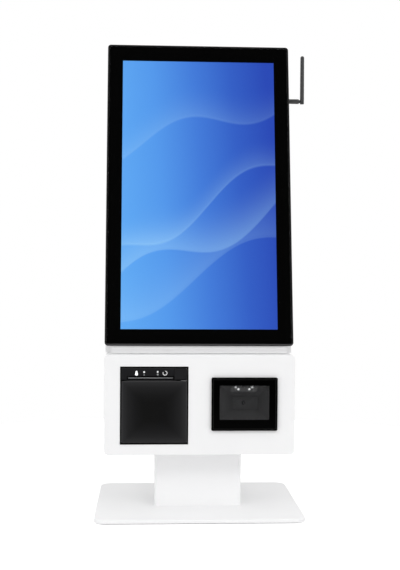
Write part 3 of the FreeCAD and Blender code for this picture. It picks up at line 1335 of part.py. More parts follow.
def printer_board():
    """The printer's circuit board on four posts above the chassis roof."""
    z = CHASSIS_Z1 + 3.0
    x, y = PATH_X, (CHASSIS_Y0 + CHASSIS_Y1) / 2
    board = box(x - 38, x + 38, y - 33, y + 31, z, z + BOARD_THICK)
    posts = [rod(2.2, V(x + sx * 33, y + sy * 27, CHASSIS_Z1 + 0.2), Z_AXIS, 2.8)
             for sx in (-1, 1) for sy in (-1, 1)]
    top = z + BOARD_THICK
    chips = [box(x - 20, x - 4, y - 9, y + 7, top, top + 1.6),
             box(x + 8, x + 22, y - 3, y + 5, top, top + 1.2),
             box(x - 30, x + 10, y + 23, y + 29, top, top + 5.4)]
    return fuse([board] + posts + chips)


# Scanner

def scanner_bezel():
    """A proud frame with a bevelled rim, a fine groove where its face plate is let in, and a
    collar that passes through the panel."""
    y0, y1 = SCANNER_FACE, HOUSING_FRONT
    back = y1 + COLLAR_DEEP
    bezel = rounded_y(SCANNER_W, SCANNER_H, SCANNER_CORNER, SCANNER_X, SCANNER_Z, y0, y1)
    bezel = bezel.makeChamfer(1.2, front_edges(bezel, y0))
    seam = [rounded_y(SCANNER_W - 2 * inset, SCANNER_H - 2 * inset, 1.0, SCANNER_X, SCANNER_Z,
                      y0, y0 + SEAM_DEEP) for inset in (SEAM_INSET, SEAM_INSET + SEAM_W)]
    bezel = fuse([bezel, scanner_collar(0, y1, back)]).cut(seam[0].cut(seam[1]))
    seat = y0 + WINDOW_SET
    lap = 2 * WINDOW_LAP + 0.2
    bezel = bezel.cut(rounded_y(WINDOW_W, WINDOW_H, 1.0, WINDOW_X, WINDOW_Z, y0, seat))
    return bezel.cut(rounded_y(WINDOW_W + lap, WINDOW_H + lap, 1.0, WINDOW_X, WINDOW_Z, seat, back))


def scanner_window():
    y0 = SCANNER_FACE + WINDOW_SET
    w, h = WINDOW_W + 2 * WINDOW_LAP, WINDOW_H + 2 * WINDOW_LAP
    return rounded_y(w, h, 0.9, WINDOW_X, WINDOW_Z, y0, y0 + WINDOW_THICK)


def hood_section(y):
    """The middle and size of the hood's clear section at depth y: x, z, width, height."""
    t = (y - HOOD_Y) / HOOD_DEEP
    return (WINDOW_X + HOOD_SIDE * t, WINDOW_Z - HOOD_DROP * t,
            WINDOW_W + (HOOD_BACK_W - WINDOW_W) * t, WINDOW_H + (HOOD_BACK_H - WINDOW_H) * t)


def hood_outline(y, grow):
    x, z, w, h = hood_section(y)
    a, b = w / 2 + grow, h / 2 + grow
    corners = [V(x - a, y, z - b), V(x + a, y, z - b), V(x + a, y, z + b), V(x - a, y, z + b)]
    return Part.makePolygon(corners + corners[:1])


def scanner_hood():
    """A tapered light hood from the window back to the camera."""
    shapes = [Part.makeLoft([hood_outline(HOOD_Y, grow), hood_outline(HOOD_BACK, grow)], True, True)
              for grow in (HOOD_WALL, 0)]
    return shapes[0].cut(shapes[1])


def scanner_camera():
    """The camera: its board behind the hood, a lens block and a short lens barrel."""
    y = HOOD_BACK + 0.3
    bx, bz = HOOD_BACK_X, HOOD_BACK_Z
    board = block(bx, bz, HOOD_BACK_W + 8, HOOD_BACK_H + 10, y, y + BOARD_THICK)
    chip = block(bx, bz, 24, 16, y + BOARD_THICK, y + 4)
    plug = block(bx - 20, bz, 8, 16, y + BOARD_THICK, y + 8)
    x, z = bx + LENS_SIDE, bz + LENS_UP
    mount = block(x, z, 12, 12, y - 3.6, y)
    front = V(x, y - 8.6, z)
    camera = fuse([board, chip, plug, mount, rod(LENS_R, front, Y_AXIS, 5.0)])
    return camera.cut(Part.makeCone(LENS_R - 0.8, 1.2, 2.4, front, Y_AXIS))


def scanner_lamps():
    """A bar under the hood's top wall with domed lamps."""
    y0 = HOOD_Y + 6.0
    y1 = y0 + 6.0
    x, z, w, h = hood_section(y1)
    top = z + h / 2 - 0.3
    low = top - 1.6
    bar = box(WINDOW_X - 26, WINDOW_X + 26, y0, y1, low, top)
    domes = [Part.makeSphere(LAMP_R, V(WINDOW_X + dx, (y0 + y1) / 2, low)) for dx in LAMP_PLACES]
    cut = box(WINDOW_X - 30, WINDOW_X + 30, y0 - 1, y1 + 1, top, top + LAMP_R)
    return fuse([bar] + domes).cut(cut)


# Writing the pieces

PIECES = [
    base_pad, base_plate, base_screws, column, column_flanges, head_bolts,
    housing_shell, front_panel, housing_back, back_screws, power_entry, rocker, data_sockets,
    display_rim, cover_glass, lcd_panel, lcd_rails, display_shell,
    upper_cabinet, service_door, hinge_pins, lock_barrel, lock_plug, lock_cam,
    board_tray, mainboard, heat_sink, power_supply,
    antenna_socket, antenna_base, antenna_pin, antenna_whip,
    printer_bezel, led_lenses, tear_bar, feed_button, release_button, button_board,
    printer_door, printer_pin, printer_chassis, platen_roller, platen_shaft, platen_bushes,
    platen_gear, idler_gear, motor_pinion, feed_motor, print_head, cutter_frame, cutter_blade,
    fixed_blade, paper_roll, paper_core, printer_board,
    scanner_bezel, scanner_window, scanner_hood, scanner_camera, scanner_lamps,
]

os.makedirs("parts", exist_ok=True)
for make in PIECES:
    shape = make()
    name = make.__name__
    if not shape.isValid():
        print("not valid:", name)
    shape.exportStep("parts/" + name + ".step")
    print(name, len(shape.Solids), round(shape.Volume))
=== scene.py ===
# %% [markdown]
# # A self-service kiosk, dressed in Blender
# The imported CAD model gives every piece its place, size and motion. This lesson gives the
# pieces their finish: powder-coated steel, grained and glossy plastics, glass over a lit
# screen, and the circuit boards, screws and rollers that show when the doors are open.
# Everything is in metres. +Z is up and the front of the kiosk faces -Y.

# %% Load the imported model
import math

import bpy
import numpy as np
from mathutils import Matrix, Vector


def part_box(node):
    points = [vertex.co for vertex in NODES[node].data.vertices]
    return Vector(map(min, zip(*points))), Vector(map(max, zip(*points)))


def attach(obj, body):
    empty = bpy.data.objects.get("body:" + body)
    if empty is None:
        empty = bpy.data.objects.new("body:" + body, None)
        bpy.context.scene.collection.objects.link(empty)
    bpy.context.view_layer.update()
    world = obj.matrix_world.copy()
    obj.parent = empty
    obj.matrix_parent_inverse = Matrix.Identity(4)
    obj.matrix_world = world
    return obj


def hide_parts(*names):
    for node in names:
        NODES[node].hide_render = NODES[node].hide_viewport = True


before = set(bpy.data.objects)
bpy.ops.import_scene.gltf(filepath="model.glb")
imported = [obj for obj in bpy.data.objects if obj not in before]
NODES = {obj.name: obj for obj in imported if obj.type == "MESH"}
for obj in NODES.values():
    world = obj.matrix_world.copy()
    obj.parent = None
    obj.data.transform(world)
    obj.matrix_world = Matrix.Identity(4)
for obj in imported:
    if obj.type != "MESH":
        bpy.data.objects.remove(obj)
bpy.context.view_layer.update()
MM = 0.001
print("CAD nodes:", len(NODES))

# %% [markdown]
# ## The camera
# The photograph was taken from a little to the left of the kiosk, level with its middle. A
# camera can be set by eye, but a small error then shows along every edge. So the place, the
# three small turns and the focal length below were worked out from the straight edges of the
# screen, the housing and the base. The sensor is 36 mm on the picture's long side, so the lens
# is the focal length in pixels times 36 over the picture's height.

# %% Camera
PICTURE_HEIGHT = 570
FOCAL_PIXELS = 991.0
SENSOR = 36.0
YAW, PITCH, ROLL = (math.radians(a) for a in (-2.988, -1.1, -0.35))
CAMERA_PLACE = (-0.096, -1.923, 0.464)


def make_camera():
    """The turned axes are the columns of Rz(yaw) Rx(pitch) Ry(roll): right, forward and up. A
    Blender camera looks along its own -Z with +Y up, so the columns are put in that order."""
    turn = Matrix.Rotation(YAW, 3, "Z") @ Matrix.Rotation(PITCH, 3, "X")
    turn = turn @ Matrix.Rotation(ROLL, 3, "Y")
    right, forward, up = (turn.col[i] for i in range(3))
    axes = Matrix((right, up, -forward)).transposed()
    data = bpy.data.cameras.new("camera")
    data.sensor_width = SENSOR
    data.lens = FOCAL_PIXELS * SENSOR / PICTURE_HEIGHT
    camera = bpy.data.objects.new("camera", data)
    camera.matrix_world = Matrix.Translation(CAMERA_PLACE) @ axes.to_4x4()
    bpy.context.collection.objects.link(camera)
    bpy.context.scene.camera = camera
    return camera


camera = make_camera()
print("lens %.1f mm" % camera.data.lens)

# %% [markdown]
# ## Small tools for materials
# A material here is a node tree. Each tree could be drawn by hand in the shader editor, but
# written down it can be read and repeated. One function turns the hex value of a colour, as a
# paint chart gives it, into the linear numbers that the renderer needs. Another adds a node
# with its settings and links.

# %% Colours and nodes
def srgb(text):
    """Linear red, green, blue and alpha of an sRGB hex value such as #F2F2F2."""
    values = [int(text[i:i + 2], 16) / 255 for i in (1, 3, 5)]
    linear = [v / 12.92 if v <= 0.04045 else ((v + 0.055) / 1.055) ** 2.4 for v in values]
    return (*linear, 1.0)


def feed(node, key, value):
    """Gives an input a value, or a link if the value is a node or one of a node's outputs. A
    node stands for its first output."""
    if isinstance(value, bpy.types.Node):
        value = value.outputs[0]
    if isinstance(value, bpy.types.NodeSocket):
        node.id_data.links.new(value, node.inputs[key])
    else:
        node.inputs[key].default_value = value


def add(tree, kind, *values, inputs=None, **settings):
    """Adds a node. The values go to its first inputs in turn, and inputs go in by name."""
    node = tree.nodes.new(kind)
    for key, value in settings.items():
        setattr(node, key, value)
    for key, value in [*enumerate(values), *(inputs or {}).items()]:
        feed(node, key, value)
    return node


def plain(name, colour, roughness, metallic=0.0, **sockets):
    """A material with one Principled shader, whose other sockets are named with underscores.
    Returns the material, its tree and the shader."""
    made = bpy.data.materials.new(name)
    made.use_nodes = True
    tree = made.node_tree
    shader = tree.nodes["Principled BSDF"]
    feed(shader, "Base Color", srgb(colour))
    feed(shader, "Roughness", roughness)
    feed(shader, "Metallic", metallic)
    for key, value in sockets.items():
        feed(shader, key.replace("_", " "), value)
    return made, tree, shader


print("mid grey #808080 is %.3f in linear light" % srgb("#808080")[0])

# %% [markdown]
# ## Patterns with real sizes
# A picture could be wrapped round each piece, but it would need an unfolding and would blur up
# close. Patterns that read Object coordinates need neither. These coordinates are metres in
# the kiosk's own frame, so a scale is one over the pattern's real size, and an edge can be
# found from the sizes of a CAD node.

# %% Patterns
MATHS = "ShaderNodeMath"


def place(tree):
    """Where the point lies in the kiosk's frame, in metres."""
    return add(tree, "ShaderNodeTexCoord").outputs["Object"]


def along(tree, axis):
    """The point's X, Y or Z in metres."""
    return add(tree, "ShaderNodeSeparateXYZ", place(tree)).outputs[axis]


def grain(tree, size, detail=2.0, stretch=None):
    """Noise whose patches are about size metres across, stretched by a factor on each axis."""
    where = place(tree)
    if stretch:
        scale = tuple(1 / s for s in stretch)
        where = add(tree, "ShaderNodeMapping", where, inputs={"Scale": scale})
    return add(tree, "ShaderNodeTexNoise",
               inputs={"Vector": where, "Scale": 1 / size, "Detail": detail})


def height_between(tree, low, high):
    """Where a point's z lies between two heights, from 0 to 1."""
    above = add(tree, MATHS, along(tree, "Z"), low, operation="SUBTRACT")
    return add(tree, MATHS, above, high - low, operation="DIVIDE", use_clamp=True)


def from_edge(tree, node, reach, hidden_x=0.0, hidden_top=0.0):
    """How far a point lies inside the node's front outline, as a share of reach: the least of
    x - left, right - x, z - low and high - z, over reach. What is hidden at the sides or the
    top is taken off the outline first."""
    low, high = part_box(node)
    x, z = along(tree, "X"), along(tree, "Z")
    least = add(tree, MATHS, x, low.x + hidden_x, operation="SUBTRACT")
    for a, b in ((high.x - hidden_x, x), (z, low.z), (high.z - hidden_top, z)):
        gap = add(tree, MATHS, a, b, operation="SUBTRACT")
        least = add(tree, MATHS, least, gap, operation="MINIMUM")
    return add(tree, MATHS, least, reach, operation="DIVIDE")


print("a grain of 0.5 mm has the scale", round(1 / (0.5 * MM)))

# %% [markdown]
# ## What a pattern changes
# A pattern alone is only grey noise. It can blend two colours, run a colour through several
# stops, move the roughness or raise bumps. On real surfaces colour and gloss change together,
# so most finishes below use one pattern for both.

# %% Colour, gloss and bumps
def blend(tree, factor, first, second):
    """The colour that goes from first to second as the factor goes from 0 to 1."""
    mix = add(tree, "ShaderNodeMix", inputs={"Factor": factor}, data_type="RGBA")
    ends = [i for i, socket in enumerate(mix.inputs) if socket.type == "RGBA"]
    feed(mix, ends[0], first)
    feed(mix, ends[1], second)
    return next(socket for socket in mix.outputs if socket.type == "RGBA")


def tint(tree, shader, factor, dark, light):
    """Blends the base colour from dark to light with a pattern."""
    feed(shader, "Base Color", blend(tree, factor, srgb(dark), srgb(light)))


def stops(tree, factor, colours):
    """A colour that runs through (place, hex) stops as the factor goes from 0 to 1."""
    ramp = add(tree, "ShaderNodeValToRGB", factor)
    elements = ramp.color_ramp.elements
    for i, (at, colour) in enumerate(colours):
        stop = elements[i] if i < len(elements) else elements.new(at)
        stop.position, stop.color = at, srgb(colour)
    return ramp.outputs["Color"]


def vary(tree, shader, factor, low, high):
    """Lets a pattern move the roughness between low and high. Noise seldom leaves the middle
    of its range, so 0.3 and 0.7 stand for its ends."""
    spread = add(tree, "ShaderNodeMapRange", factor, 0.3, 0.7, low, high)
    feed(shader, "Roughness", spread)


def emboss(tree, shader, height, strength, depth):
    """Turns a pattern into bumps up to depth metres high."""
    bump = add(tree, "ShaderNodeBump",
               inputs={"Height": height, "Strength": strength, "Distance": depth})
    feed(shader, "Normal", bump)


print("tools for colour, gloss and bumps are ready")

# %% [markdown]
# ## White powder coat
# The housing is folded steel sheet with a white powder coat: powder melted on in an oven. It
# flows into a very slight orange peel with a soft sheen. The peel could be a displaced mesh,
# but it is far finer than a pixel, so bumps and a drifting gloss are enough.

# %% Powder coat
PEEL = 1.4 * MM
COAT_ROUGHNESS = 0.42
INNER_SIDE = 1.9 * MM


def orange_peel(tree, shader):
    """The waves of the melted powder, in the gloss and as bumps 0.03 mm high."""
    peel = grain(tree, PEEL, detail=3.0)
    vary(tree, shader, peel, 0.38, 0.48)
    emboss(tree, shader, peel, 0.25, 0.03 * MM)


def powder_coat(name, dark, light):
    """The column and the base are a touch whiter: painted light, where the housing shades them."""
    made, tree, shader = plain(name, light, COAT_ROUGHNESS)
    tint(tree, shader, grain(tree, 60 * MM), dark, light)
    orange_peel(tree, shader)
    return made


def coated_outside():
    """The housing's back plate is coated white on its outer side. Its inner side, 1.9 mm under the
    outer one and more, is dark grey: painted shade for the inside of the housing."""
    made, tree, shader = plain("back_plate_white_painted_shade_inside", "#F1F1F2", COAT_ROUGHNESS)
    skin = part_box("housing_back")[1].y - INNER_SIDE
    outer = add(tree, MATHS, along(tree, "Y"), skin, operation="GREATER_THAN")
    # The dark grey of the inner side is painted shade.
    tint(tree, shader, outer, "#3A3B3D", "#F1F1F2")
    orange_peel(tree, shader)
    return made


WHITE = powder_coat("powder_coated_steel", "#EFEFF0", "#F3F3F3")
# The column's and the base's coats are whiter as painted light against the housing's shade.
WHITE_COLUMN = powder_coat("powder_coated_column", "#F9F9FA", "#FCFCFC")
WHITE_BASE = powder_coat("powder_coated_base", "#F3F3F4", "#F6F6F6")
# The back plate: coated white outside, painted shade on its inner side.
WHITE_OUTSIDE = coated_outside()
print("coats:", [coat.name for coat in (WHITE, WHITE_COLUMN, WHITE_BASE, WHITE_OUTSIDE)])

# %% [markdown]
# ## Plated and ground metal
# Zinc plate on small hardware is grey and a little cloudy, nickel is warmer and brighter, and
# chrome on the lock is almost a mirror. Ground blades show fine lines along the way they were
# ground. An anisotropic shader could draw such lines too, but noise drawn out along one axis
# shows them the same in the exported model.

# %% Metals
BAND_MIDDLE, BAND_HALF = 0.7 * MM, 0.4 * MM


def clouded_metal(name, colour, roughness, cloud, smooth, rough, metallic=1.0):
    """Metal whose gloss drifts between two roughnesses in patches of the cloud's size."""
    made, tree, shader = plain(name, colour, roughness, metallic)
    vary(tree, shader, grain(tree, cloud), smooth, rough)
    return made


def zinc_plate():
    """Zinc crystals catch the light in patches, so its colour drifts with its gloss."""
    made, tree, shader = plain("zinc_plated_steel", "#C4C7CA", 0.34, 1.0)
    cloud = grain(tree, 9 * MM, detail=4.0)
    tint(tree, shader, cloud, "#B4B8BD", "#D0D2D3")
    vary(tree, shader, cloud, 0.26, 0.42)
    return made


def lined_metal(name, colour, roughness, line, stretch, smooth, rough, strength):
    """Fine lines from grinding, turning or drawing: noise stretched along their direction."""
    made, tree, shader = plain(name, colour, roughness, 1.0)
    lines = grain(tree, line, stretch=stretch)
    vary(tree, shader, lines, smooth, rough)
    emboss(tree, shader, lines, strength, 0.01 * MM)
    return made


def ground_steel(name, stretch):
    """Steel cut by a wheel or a lathe, bright along its lines and duller across them."""
    return lined_metal(name, "#CDCFD1", 0.28, 0.4 * MM, stretch, 0.20, 0.38, 0.3)


def blackened_steel():
    """The tear bar: blackened all over, then ground bright in a band 0.8 mm high along its
    front edge, whose middle is 0.7 mm above its underside."""
    made, tree, shader = plain("blackened_steel_ground_edge", "#0C0C0D", 0.35, 0.75)
    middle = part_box("tear_bar")[0].z + BAND_MIDDLE
    away = add(tree, MATHS, along(tree, "Z"), middle, operation="SUBTRACT")
    away = add(tree, MATHS, away, operation="ABSOLUTE")
    band = add(tree, MATHS, away, BAND_HALF, operation="LESS_THAN")
    tint(tree, shader, band, "#0C0C0D", "#D4D6D8")
    vary(tree, shader, grain(tree, 0.4 * MM, stretch=(60, 1, 1)), 0.24, 0.42)
    return made


ZINC = zinc_plate()
GROUND = ground_steel("ground_steel", (60, 1, 1))
TURNED = ground_steel("turned_steel", (1, 20, 20))
# Extruded aluminium is softer and paler than steel, with long faint lines from its die.
ALUMINIUM = lined_metal("extruded_aluminium", "#C9CBCD", 0.36, 0.6 * MM, (1, 1, 40), 0.30, 0.44,
                        0.25)
BLACK_STEEL = blackened_steel()
# Spring steel that oil and heat have turned blue-black.
BLUED = clouded_metal("blued_spring_steel", "#0D0E11", 0.4, 3 * MM, 0.32, 0.5, 0.9)
# Bright nickel on the sockets' shells looks faintly yellow beside zinc.
NICKEL = clouded_metal("nickel_plated_shell", "#C9C4BA", 0.24, 4 * MM, 0.18, 0.32)
# Chrome over polished brass mirrors the room sharply.
CHROME = clouded_metal("chrome_plate", "#DADBDC", 0.09, 5 * MM, 0.06, 0.13)
# A thin flash of gold keeps contacts from tarnishing and lets the brass colour through.
GOLD = clouded_metal("gold_flashed_brass", "#D9B36A", 0.25, 2 * MM, 0.20, 0.32)
print("metals:", [metal.name for metal in (ZINC, GROUND, ALUMINIUM, BLUED, NICKEL, GOLD)])

# %% [markdown]
# ## Plastics with one colour
# Covers that hands touch are moulded in a tool whose steel was eroded by sparks, which leaves
# a fine even grain that hides marks. Gears, coil bodies and key parts come from a polished tool
# instead, so they are smooth with a very faint waviness. Rubber is rougher than both.

# %% Plastics and rubber
def spark_grain(tree, shader, roughness, grit, depth):
    """The grain of an eroded tool, in the gloss and as bumps. Returns the pattern."""
    pattern = grain(tree, grit, detail=3.0)
    vary(tree, shader, pattern, roughness - 0.06, roughness + 0.08)
    emboss(tree, shader, pattern, 0.5, depth)
    return pattern


def grained_plastic(name, dark, light, roughness, grit=0.5 * MM, depth=0.05 * MM, level=0.5):
    """Spark-eroded grain: small noise, drawn at half a millimetre so that it shows."""
    made, tree, shader = plain(name, light, roughness, Specular_IOR_Level=level)
    tint(tree, shader, spark_grain(tree, shader, roughness, grit, depth), dark, light)
    return made


def polished_plastic(name, colour, roughness):
    """A smooth moulding, whose tool was polished by hand and so is not quite flat."""
    made, tree, shader = plain(name, colour, roughness)
    emboss(tree, shader, grain(tree, 14 * MM), 0.05, 0.05 * MM)
    return made


def moulded_rubber(name, colour):
    """Rubber takes on every pore of its mould, and so scatters nearly all the light."""
    made, tree, shader = plain(name, colour, 0.75)
    emboss(tree, shader, grain(tree, 0.4 * MM), 0.4, 0.03 * MM)
    return made


# Little light comes back off black ABS, so it stays deep, and its grain keeps it matt.
BLACK_GRAINED = grained_plastic("grained_black_abs", "#161617", "#1C1C1E", 0.5, level=0.12)
DARK_CHASSIS = grained_plastic("grained_dark_abs", "#1B1B1D", "#262628", 0.6, 0.8 * MM)
KEY_BLACK = grained_plastic("key_top_abs", "#1A1A1B", "#212123", 0.42, 0.4 * MM, 0.03 * MM, 0.14)
# The hood is a dull middle grey, so that it throws no glare into the camera.
HOOD_GREY = grained_plastic("hood_grey_abs", "#A2A2A3", "#AEAEAF", 0.7)
# An elastomer skin over the antenna's wire is grey, with a broad and dull sheen.
ANTENNA_GREY = grained_plastic("antenna_elastomer", "#3C3C3D", "#4A4A4B", 0.5, 0.6 * MM)
# Epoxy filled with quartz powder makes a chip's body black and almost without shine.
CHIP_BLACK = grained_plastic("moulded_epoxy", "#141416", "#1C1C1E", 0.55, 0.3 * MM, 0.02 * MM)
# Matt paint on the camera's shield and filled polyester in the lamp holder look pale and dry.
SHIELD_GREY = grained_plastic("painted_shield", "#BEBEC0", "#C8C8CA", 0.65, 0.6 * MM, 0.02 * MM)
HOLDER_GREY = grained_plastic("lamp_holder_pbt", "#CACACB", "#D4D4D5", 0.6, 0.5 * MM, 0.02 * MM)
# Paint on the screen's steel frame is smooth and dark, with a softened highlight.
PANEL_BACK = polished_plastic("painted_panel_frame", "#1B1C1E", 0.4)
# Acetal looks waxy, ferrite like a dark stone, and nylon has the colour of ivory.
ACETAL = polished_plastic("black_acetal", "#202022", 0.38)
FERRITE = polished_plastic("ferrite_coil_body", "#3A3B3F", 0.5)
NYLON = polished_plastic("connector_nylon", "#DAD8CF", 0.45)
# The lens barrel's anodised skin and the paper's core are plain middle greys.
BARREL_GREY = polished_plastic("anodised_barrel", "#88888B", 0.45)
CORE_GREY = polished_plastic("moulded_core", "#5C5D60", 0.45)
# Moulded rubber looks sooty. Ground rubber, as on the platen, is a touch lighter and bluer.
PAD_RUBBER = moulded_rubber("non_slip_rubber", "#1E1E1E")
PLATEN_RUBBER = moulded_rubber("ground_platen_rubber", "#26272A")
print("grained black is", BLACK_GRAINED.name)

# %% [markdown]
# ## The display's rim and shell
# These two mouldings meet in the pale strip under the screen. Painted highlights and painted shade
# run along their edges, which could be painted by hand, but the lines run level, so a colour that
# depends on the height alone draws them. The stops below are shares of a short stretch of height.

# %% Rim and shell
RIM_FOOT = (315 * MM, 320 * MM)
SHELL_STRIP = (300 * MM, 320 * MM)
RIM_ROUGHNESS, CHAMFER_ROUGHNESS = 0.38, 0.95


def rim_plastic():
    """The rim is satin black. Along its foot runs a grey line 1.8 mm high, a painted highlight,
    and the chamfer under it is painted black as shade and made rougher."""
    made, tree, shader = plain("satin_black_rim", "#181717", RIM_ROUGHNESS,
                               Specular_IOR_Level=0.4)
    up = height_between(tree, *RIM_FOOT)
    # Black painted shade on the chamfer, a grey painted highlight, then the rim's own black.
    lines = ((0.0, "#000000"), (0.28, "#000000"), (0.34, "#444445"), (0.66, "#444445"),
             (0.72, "#181717"))
    feed(shader, "Base Color", stops(tree, up, lines))
    feed(shader, "Roughness", add(tree, "ShaderNodeMapRange", up, 0.28, 0.4,
                                  CHAMFER_ROUGHNESS, RIM_ROUGHNESS))
    emboss(tree, shader, grain(tree, 14 * MM), 0.05, 0.05 * MM)
    return made


def shell_plastic():
    """The shell's grained white. Its strip between the housing and the rim is painted paler
    towards both: painted light against the shade of the crevices there."""
    made, tree, shader = plain("grained_white_abs", "#E6E6E7", 0.5)
    pattern = spark_grain(tree, shader, 0.5, 0.6 * MM, 0.03 * MM)
    up = height_between(tree, *SHELL_STRIP)
    up = add(tree, MATHS, pattern, 0.04, up, operation="MULTIPLY_ADD")
    # Painted light: the strip is paler next to the housing and next to the rim.
    painted_light = ((0.0, "#F2F2F2"), (0.08, "#F2F2F2"), (0.18, "#E6E6E7"), (0.35, "#E3E3E4"),
            (0.5, "#EBEBEC"), (0.62, "#F4F4F5"), (0.78, "#FAFAFB"), (0.84, "#E4E4E5"),
            (1.0, "#E7E7E8"))
    feed(shader, "Base Color", stops(tree, up, painted_light))
    return made


RIM_BLACK = rim_plastic()
SHELL_WHITE = shell_plastic()
print("rim and shell:", RIM_BLACK.name, SHELL_WHITE.name)

# %% [markdown]
# ## The printer's and scanner's black plastics
# Black plastic shows its form by its edges. Here its light and shade are painted along them: black
# shade in the gaps and over the paper slot, and grey highlights along fine lines and on the door's
# lip. Each could be a mesh of its own, but they are a fraction of a millimetre deep, so a colour
# that depends on the distance from the outline draws them.
# The grain pushes the lines about by a hair, as on a real moulding.

# %% Bezel, door and window frame
GRIT, GRIT_DEPTH = 0.5 * MM, 0.05 * MM
SLOT_MIDDLE, SLOT_HALF, SLOT_TOP = -90.75 * MM, 41.95 * MM, 260.2 * MM
SLOT_LIP = 1.5 * MM
DOOR_LIP = 1.38 * MM
DOOR_LIP_SHIFT = 0.045
DOOR_HIDDEN_TOP = 1.4 * MM
BEZEL_FLANGE = 8 * MM
BEZEL_REACH, DOOR_REACH, FRAME_REACH = 10 * MM, 40 * MM, 10 * MM
WANDER = 0.006


def wandering(tree, inside, pattern):
    """A distance that the pattern moves by up to the wander either way."""
    wander = add(tree, MATHS, pattern, 2 * WANDER, -WANDER, operation="MULTIPLY_ADD")
    return add(tree, MATHS, inside, wander, operation="ADD")


def bezel_plastic():
    """The bezel is grained. Its outer 2.4 mm are painted black as shade in the gap round it, and a
    fine grey line inside that band is a painted highlight. Its side flanges are hidden behind the
    panel. The lip over the paper slot, 1.5 mm high, is painted black as shade too: there the
    distance is set to nought."""
    made, tree, shader = plain("bezel_black_abs", "#1A1A1C", 0.5, Specular_IOR_Level=0.12)
    pattern = spark_grain(tree, shader, 0.5, GRIT, GRIT_DEPTH)
    inside = from_edge(tree, "printer_bezel", BEZEL_REACH, BEZEL_FLANGE)
    inside = wandering(tree, inside, pattern)
    aside = add(tree, MATHS, along(tree, "X"), SLOT_MIDDLE, operation="SUBTRACT")
    aside = add(tree, MATHS, aside, operation="ABSOLUTE")
    aside = add(tree, MATHS, aside, SLOT_HALF, operation="SUBTRACT")
    over = add(tree, MATHS, along(tree, "Z"), SLOT_TOP, operation="SUBTRACT")
    away = add(tree, MATHS, over, aside, operation="MAXIMUM")
    lip = add(tree, MATHS, away, SLOT_LIP, operation="LESS_THAN")
    beyond = add(tree, MATHS, 1.0, lip, operation="SUBTRACT")
    inside = add(tree, MATHS, inside, beyond, operation="MULTIPLY")
    # Black painted shade at the outline, a grey painted highlight line, then the grained black.
    lines = ((0.0, "#010101"), (0.23, "#010101"), (0.26, "#2E2E2F"), (0.31, "#2E2E2F"),
             (0.34, "#1D1D1F"), (1.0, "#19191B"))
    feed(shader, "Base Color", stops(tree, inside, lines))
    return made


def door_plastic():
    """The grained door, painted darker in its middle than at its edges: painted shade and light.
    Its outer half millimetre is painted black as shade in the gap, a fine grey line inside that
    edge is a painted highlight, and the lip above its top edge is painted as light as that line."""
    made, tree, shader = plain("door_black_abs", "#161617", 0.5, Specular_IOR_Level=0.12)
    pattern = spark_grain(tree, shader, 0.5, GRIT, GRIT_DEPTH)
    inside = from_edge(tree, "printer_door", DOOR_REACH, 0.0, DOOR_HIDDEN_TOP)
    inside = wandering(tree, inside, pattern)
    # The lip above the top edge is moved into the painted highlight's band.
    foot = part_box("printer_door")[1].z - DOOR_LIP
    lip = add(tree, MATHS, along(tree, "Z"), foot, operation="GREATER_THAN")
    inside = add(tree, MATHS, lip, DOOR_LIP_SHIFT, inside, operation="MULTIPLY_ADD")
    # Painted shade at the edge, a painted highlight line, then painted shade deepening to the
    # middle.
    lines = ((0.0, "#040404"), (0.013, "#040404"), (0.02, "#464647"), (0.03, "#464647"),
             (0.045, "#2A2A2B"), (0.3, "#1D1D1E"), (0.65, "#131314"), (1.0, "#0C0C0C"))
    feed(shader, "Base Color", stops(tree, inside, lines))
    return made


def window_frame_plastic():
    """The scanner's polished black frame. A grey line 3.2 to 3.9 mm in from its outline is a
    painted highlight."""
    made, tree, shader = plain("polished_black_abs", "#010101", 0.2, Specular_IOR_Level=0.04)
    inside = from_edge(tree, "scanner_bezel", FRAME_REACH)
    # The grey band is a painted highlight.
    lines = ((0.0, "#010101"), (0.31, "#010101"), (0.32, "#2A2A2A"), (0.39, "#2A2A2A"),
             (0.40, "#010101"))
    feed(shader, "Base Color", stops(tree, inside, lines))
    return made


BEZEL_BLACK = bezel_plastic()
DOOR_BLACK = door_plastic()
FRAME_BLACK = window_frame_plastic()
print("black fronts:", BEZEL_BLACK.name, DOOR_BLACK.name, FRAME_BLACK.name)

# %% [markdown]
# ## Circuit boards and paper
# A board is glass fibre under a green lacquer, with copper tracks that show through as a
# lighter green. The tracks could be drawn one by one, but they show only when a door is open,
# so the edges of square cells stand for them. A paper roll's ends show its turns as rings.

# %% Boards and paper
MASK_GREEN_HEX, CHIP_HEX = "#0E5A34", "#18181A"
TRACK_CELL = 4 * MM
RING_PITCH = 0.9 * MM
PRINTER_BOARD_FACE, BUTTON_BOARD_FACE = 270.7 * MM, -100.65 * MM


def solder_mask():
    """Cells 4 mm wide, each with six steps from its middle outwards: a zigzag of the distance
    gives the lines."""
    made, tree, shader = plain("green_solder_mask", MASK_GREEN_HEX, 0.3, Coat_Weight=0.3)
    cells = add(tree, "ShaderNodeTexVoronoi", distance="MANHATTAN", feature="F1",
                inputs={"Vector": place(tree), "Scale": 1 / TRACK_CELL, "Randomness": 0.6})
    steps = add(tree, MATHS, cells.outputs["Distance"], 6.0, operation="MULTIPLY")
    lines = add(tree, MATHS, steps, 1.0, operation="PINGPONG")
    mask = add(tree, MATHS, lines, 0.62, operation="GREATER_THAN")
    tint(tree, shader, mask, "#0B4A2B", "#1B7146")
    return made


def populated_board(name, axis, level, sign=1.0):
    """A circuit board whose parts are fused to it: green up to a plane across the axis, and the
    black of moulded chips beyond it, on the side that the sign gives."""
    made, tree, shader = plain(name, MASK_GREEN_HEX, 0.35)
    where = add(tree, MATHS, along(tree, axis), sign, operation="MULTIPLY")
    beyond = add(tree, MATHS, where, level * sign, operation="GREATER_THAN")
    tint(tree, shader, beyond, MASK_GREEN_HEX, CHIP_HEX)
    vary(tree, shader, grain(tree, 1.5 * MM), 0.28, 0.45)
    return made


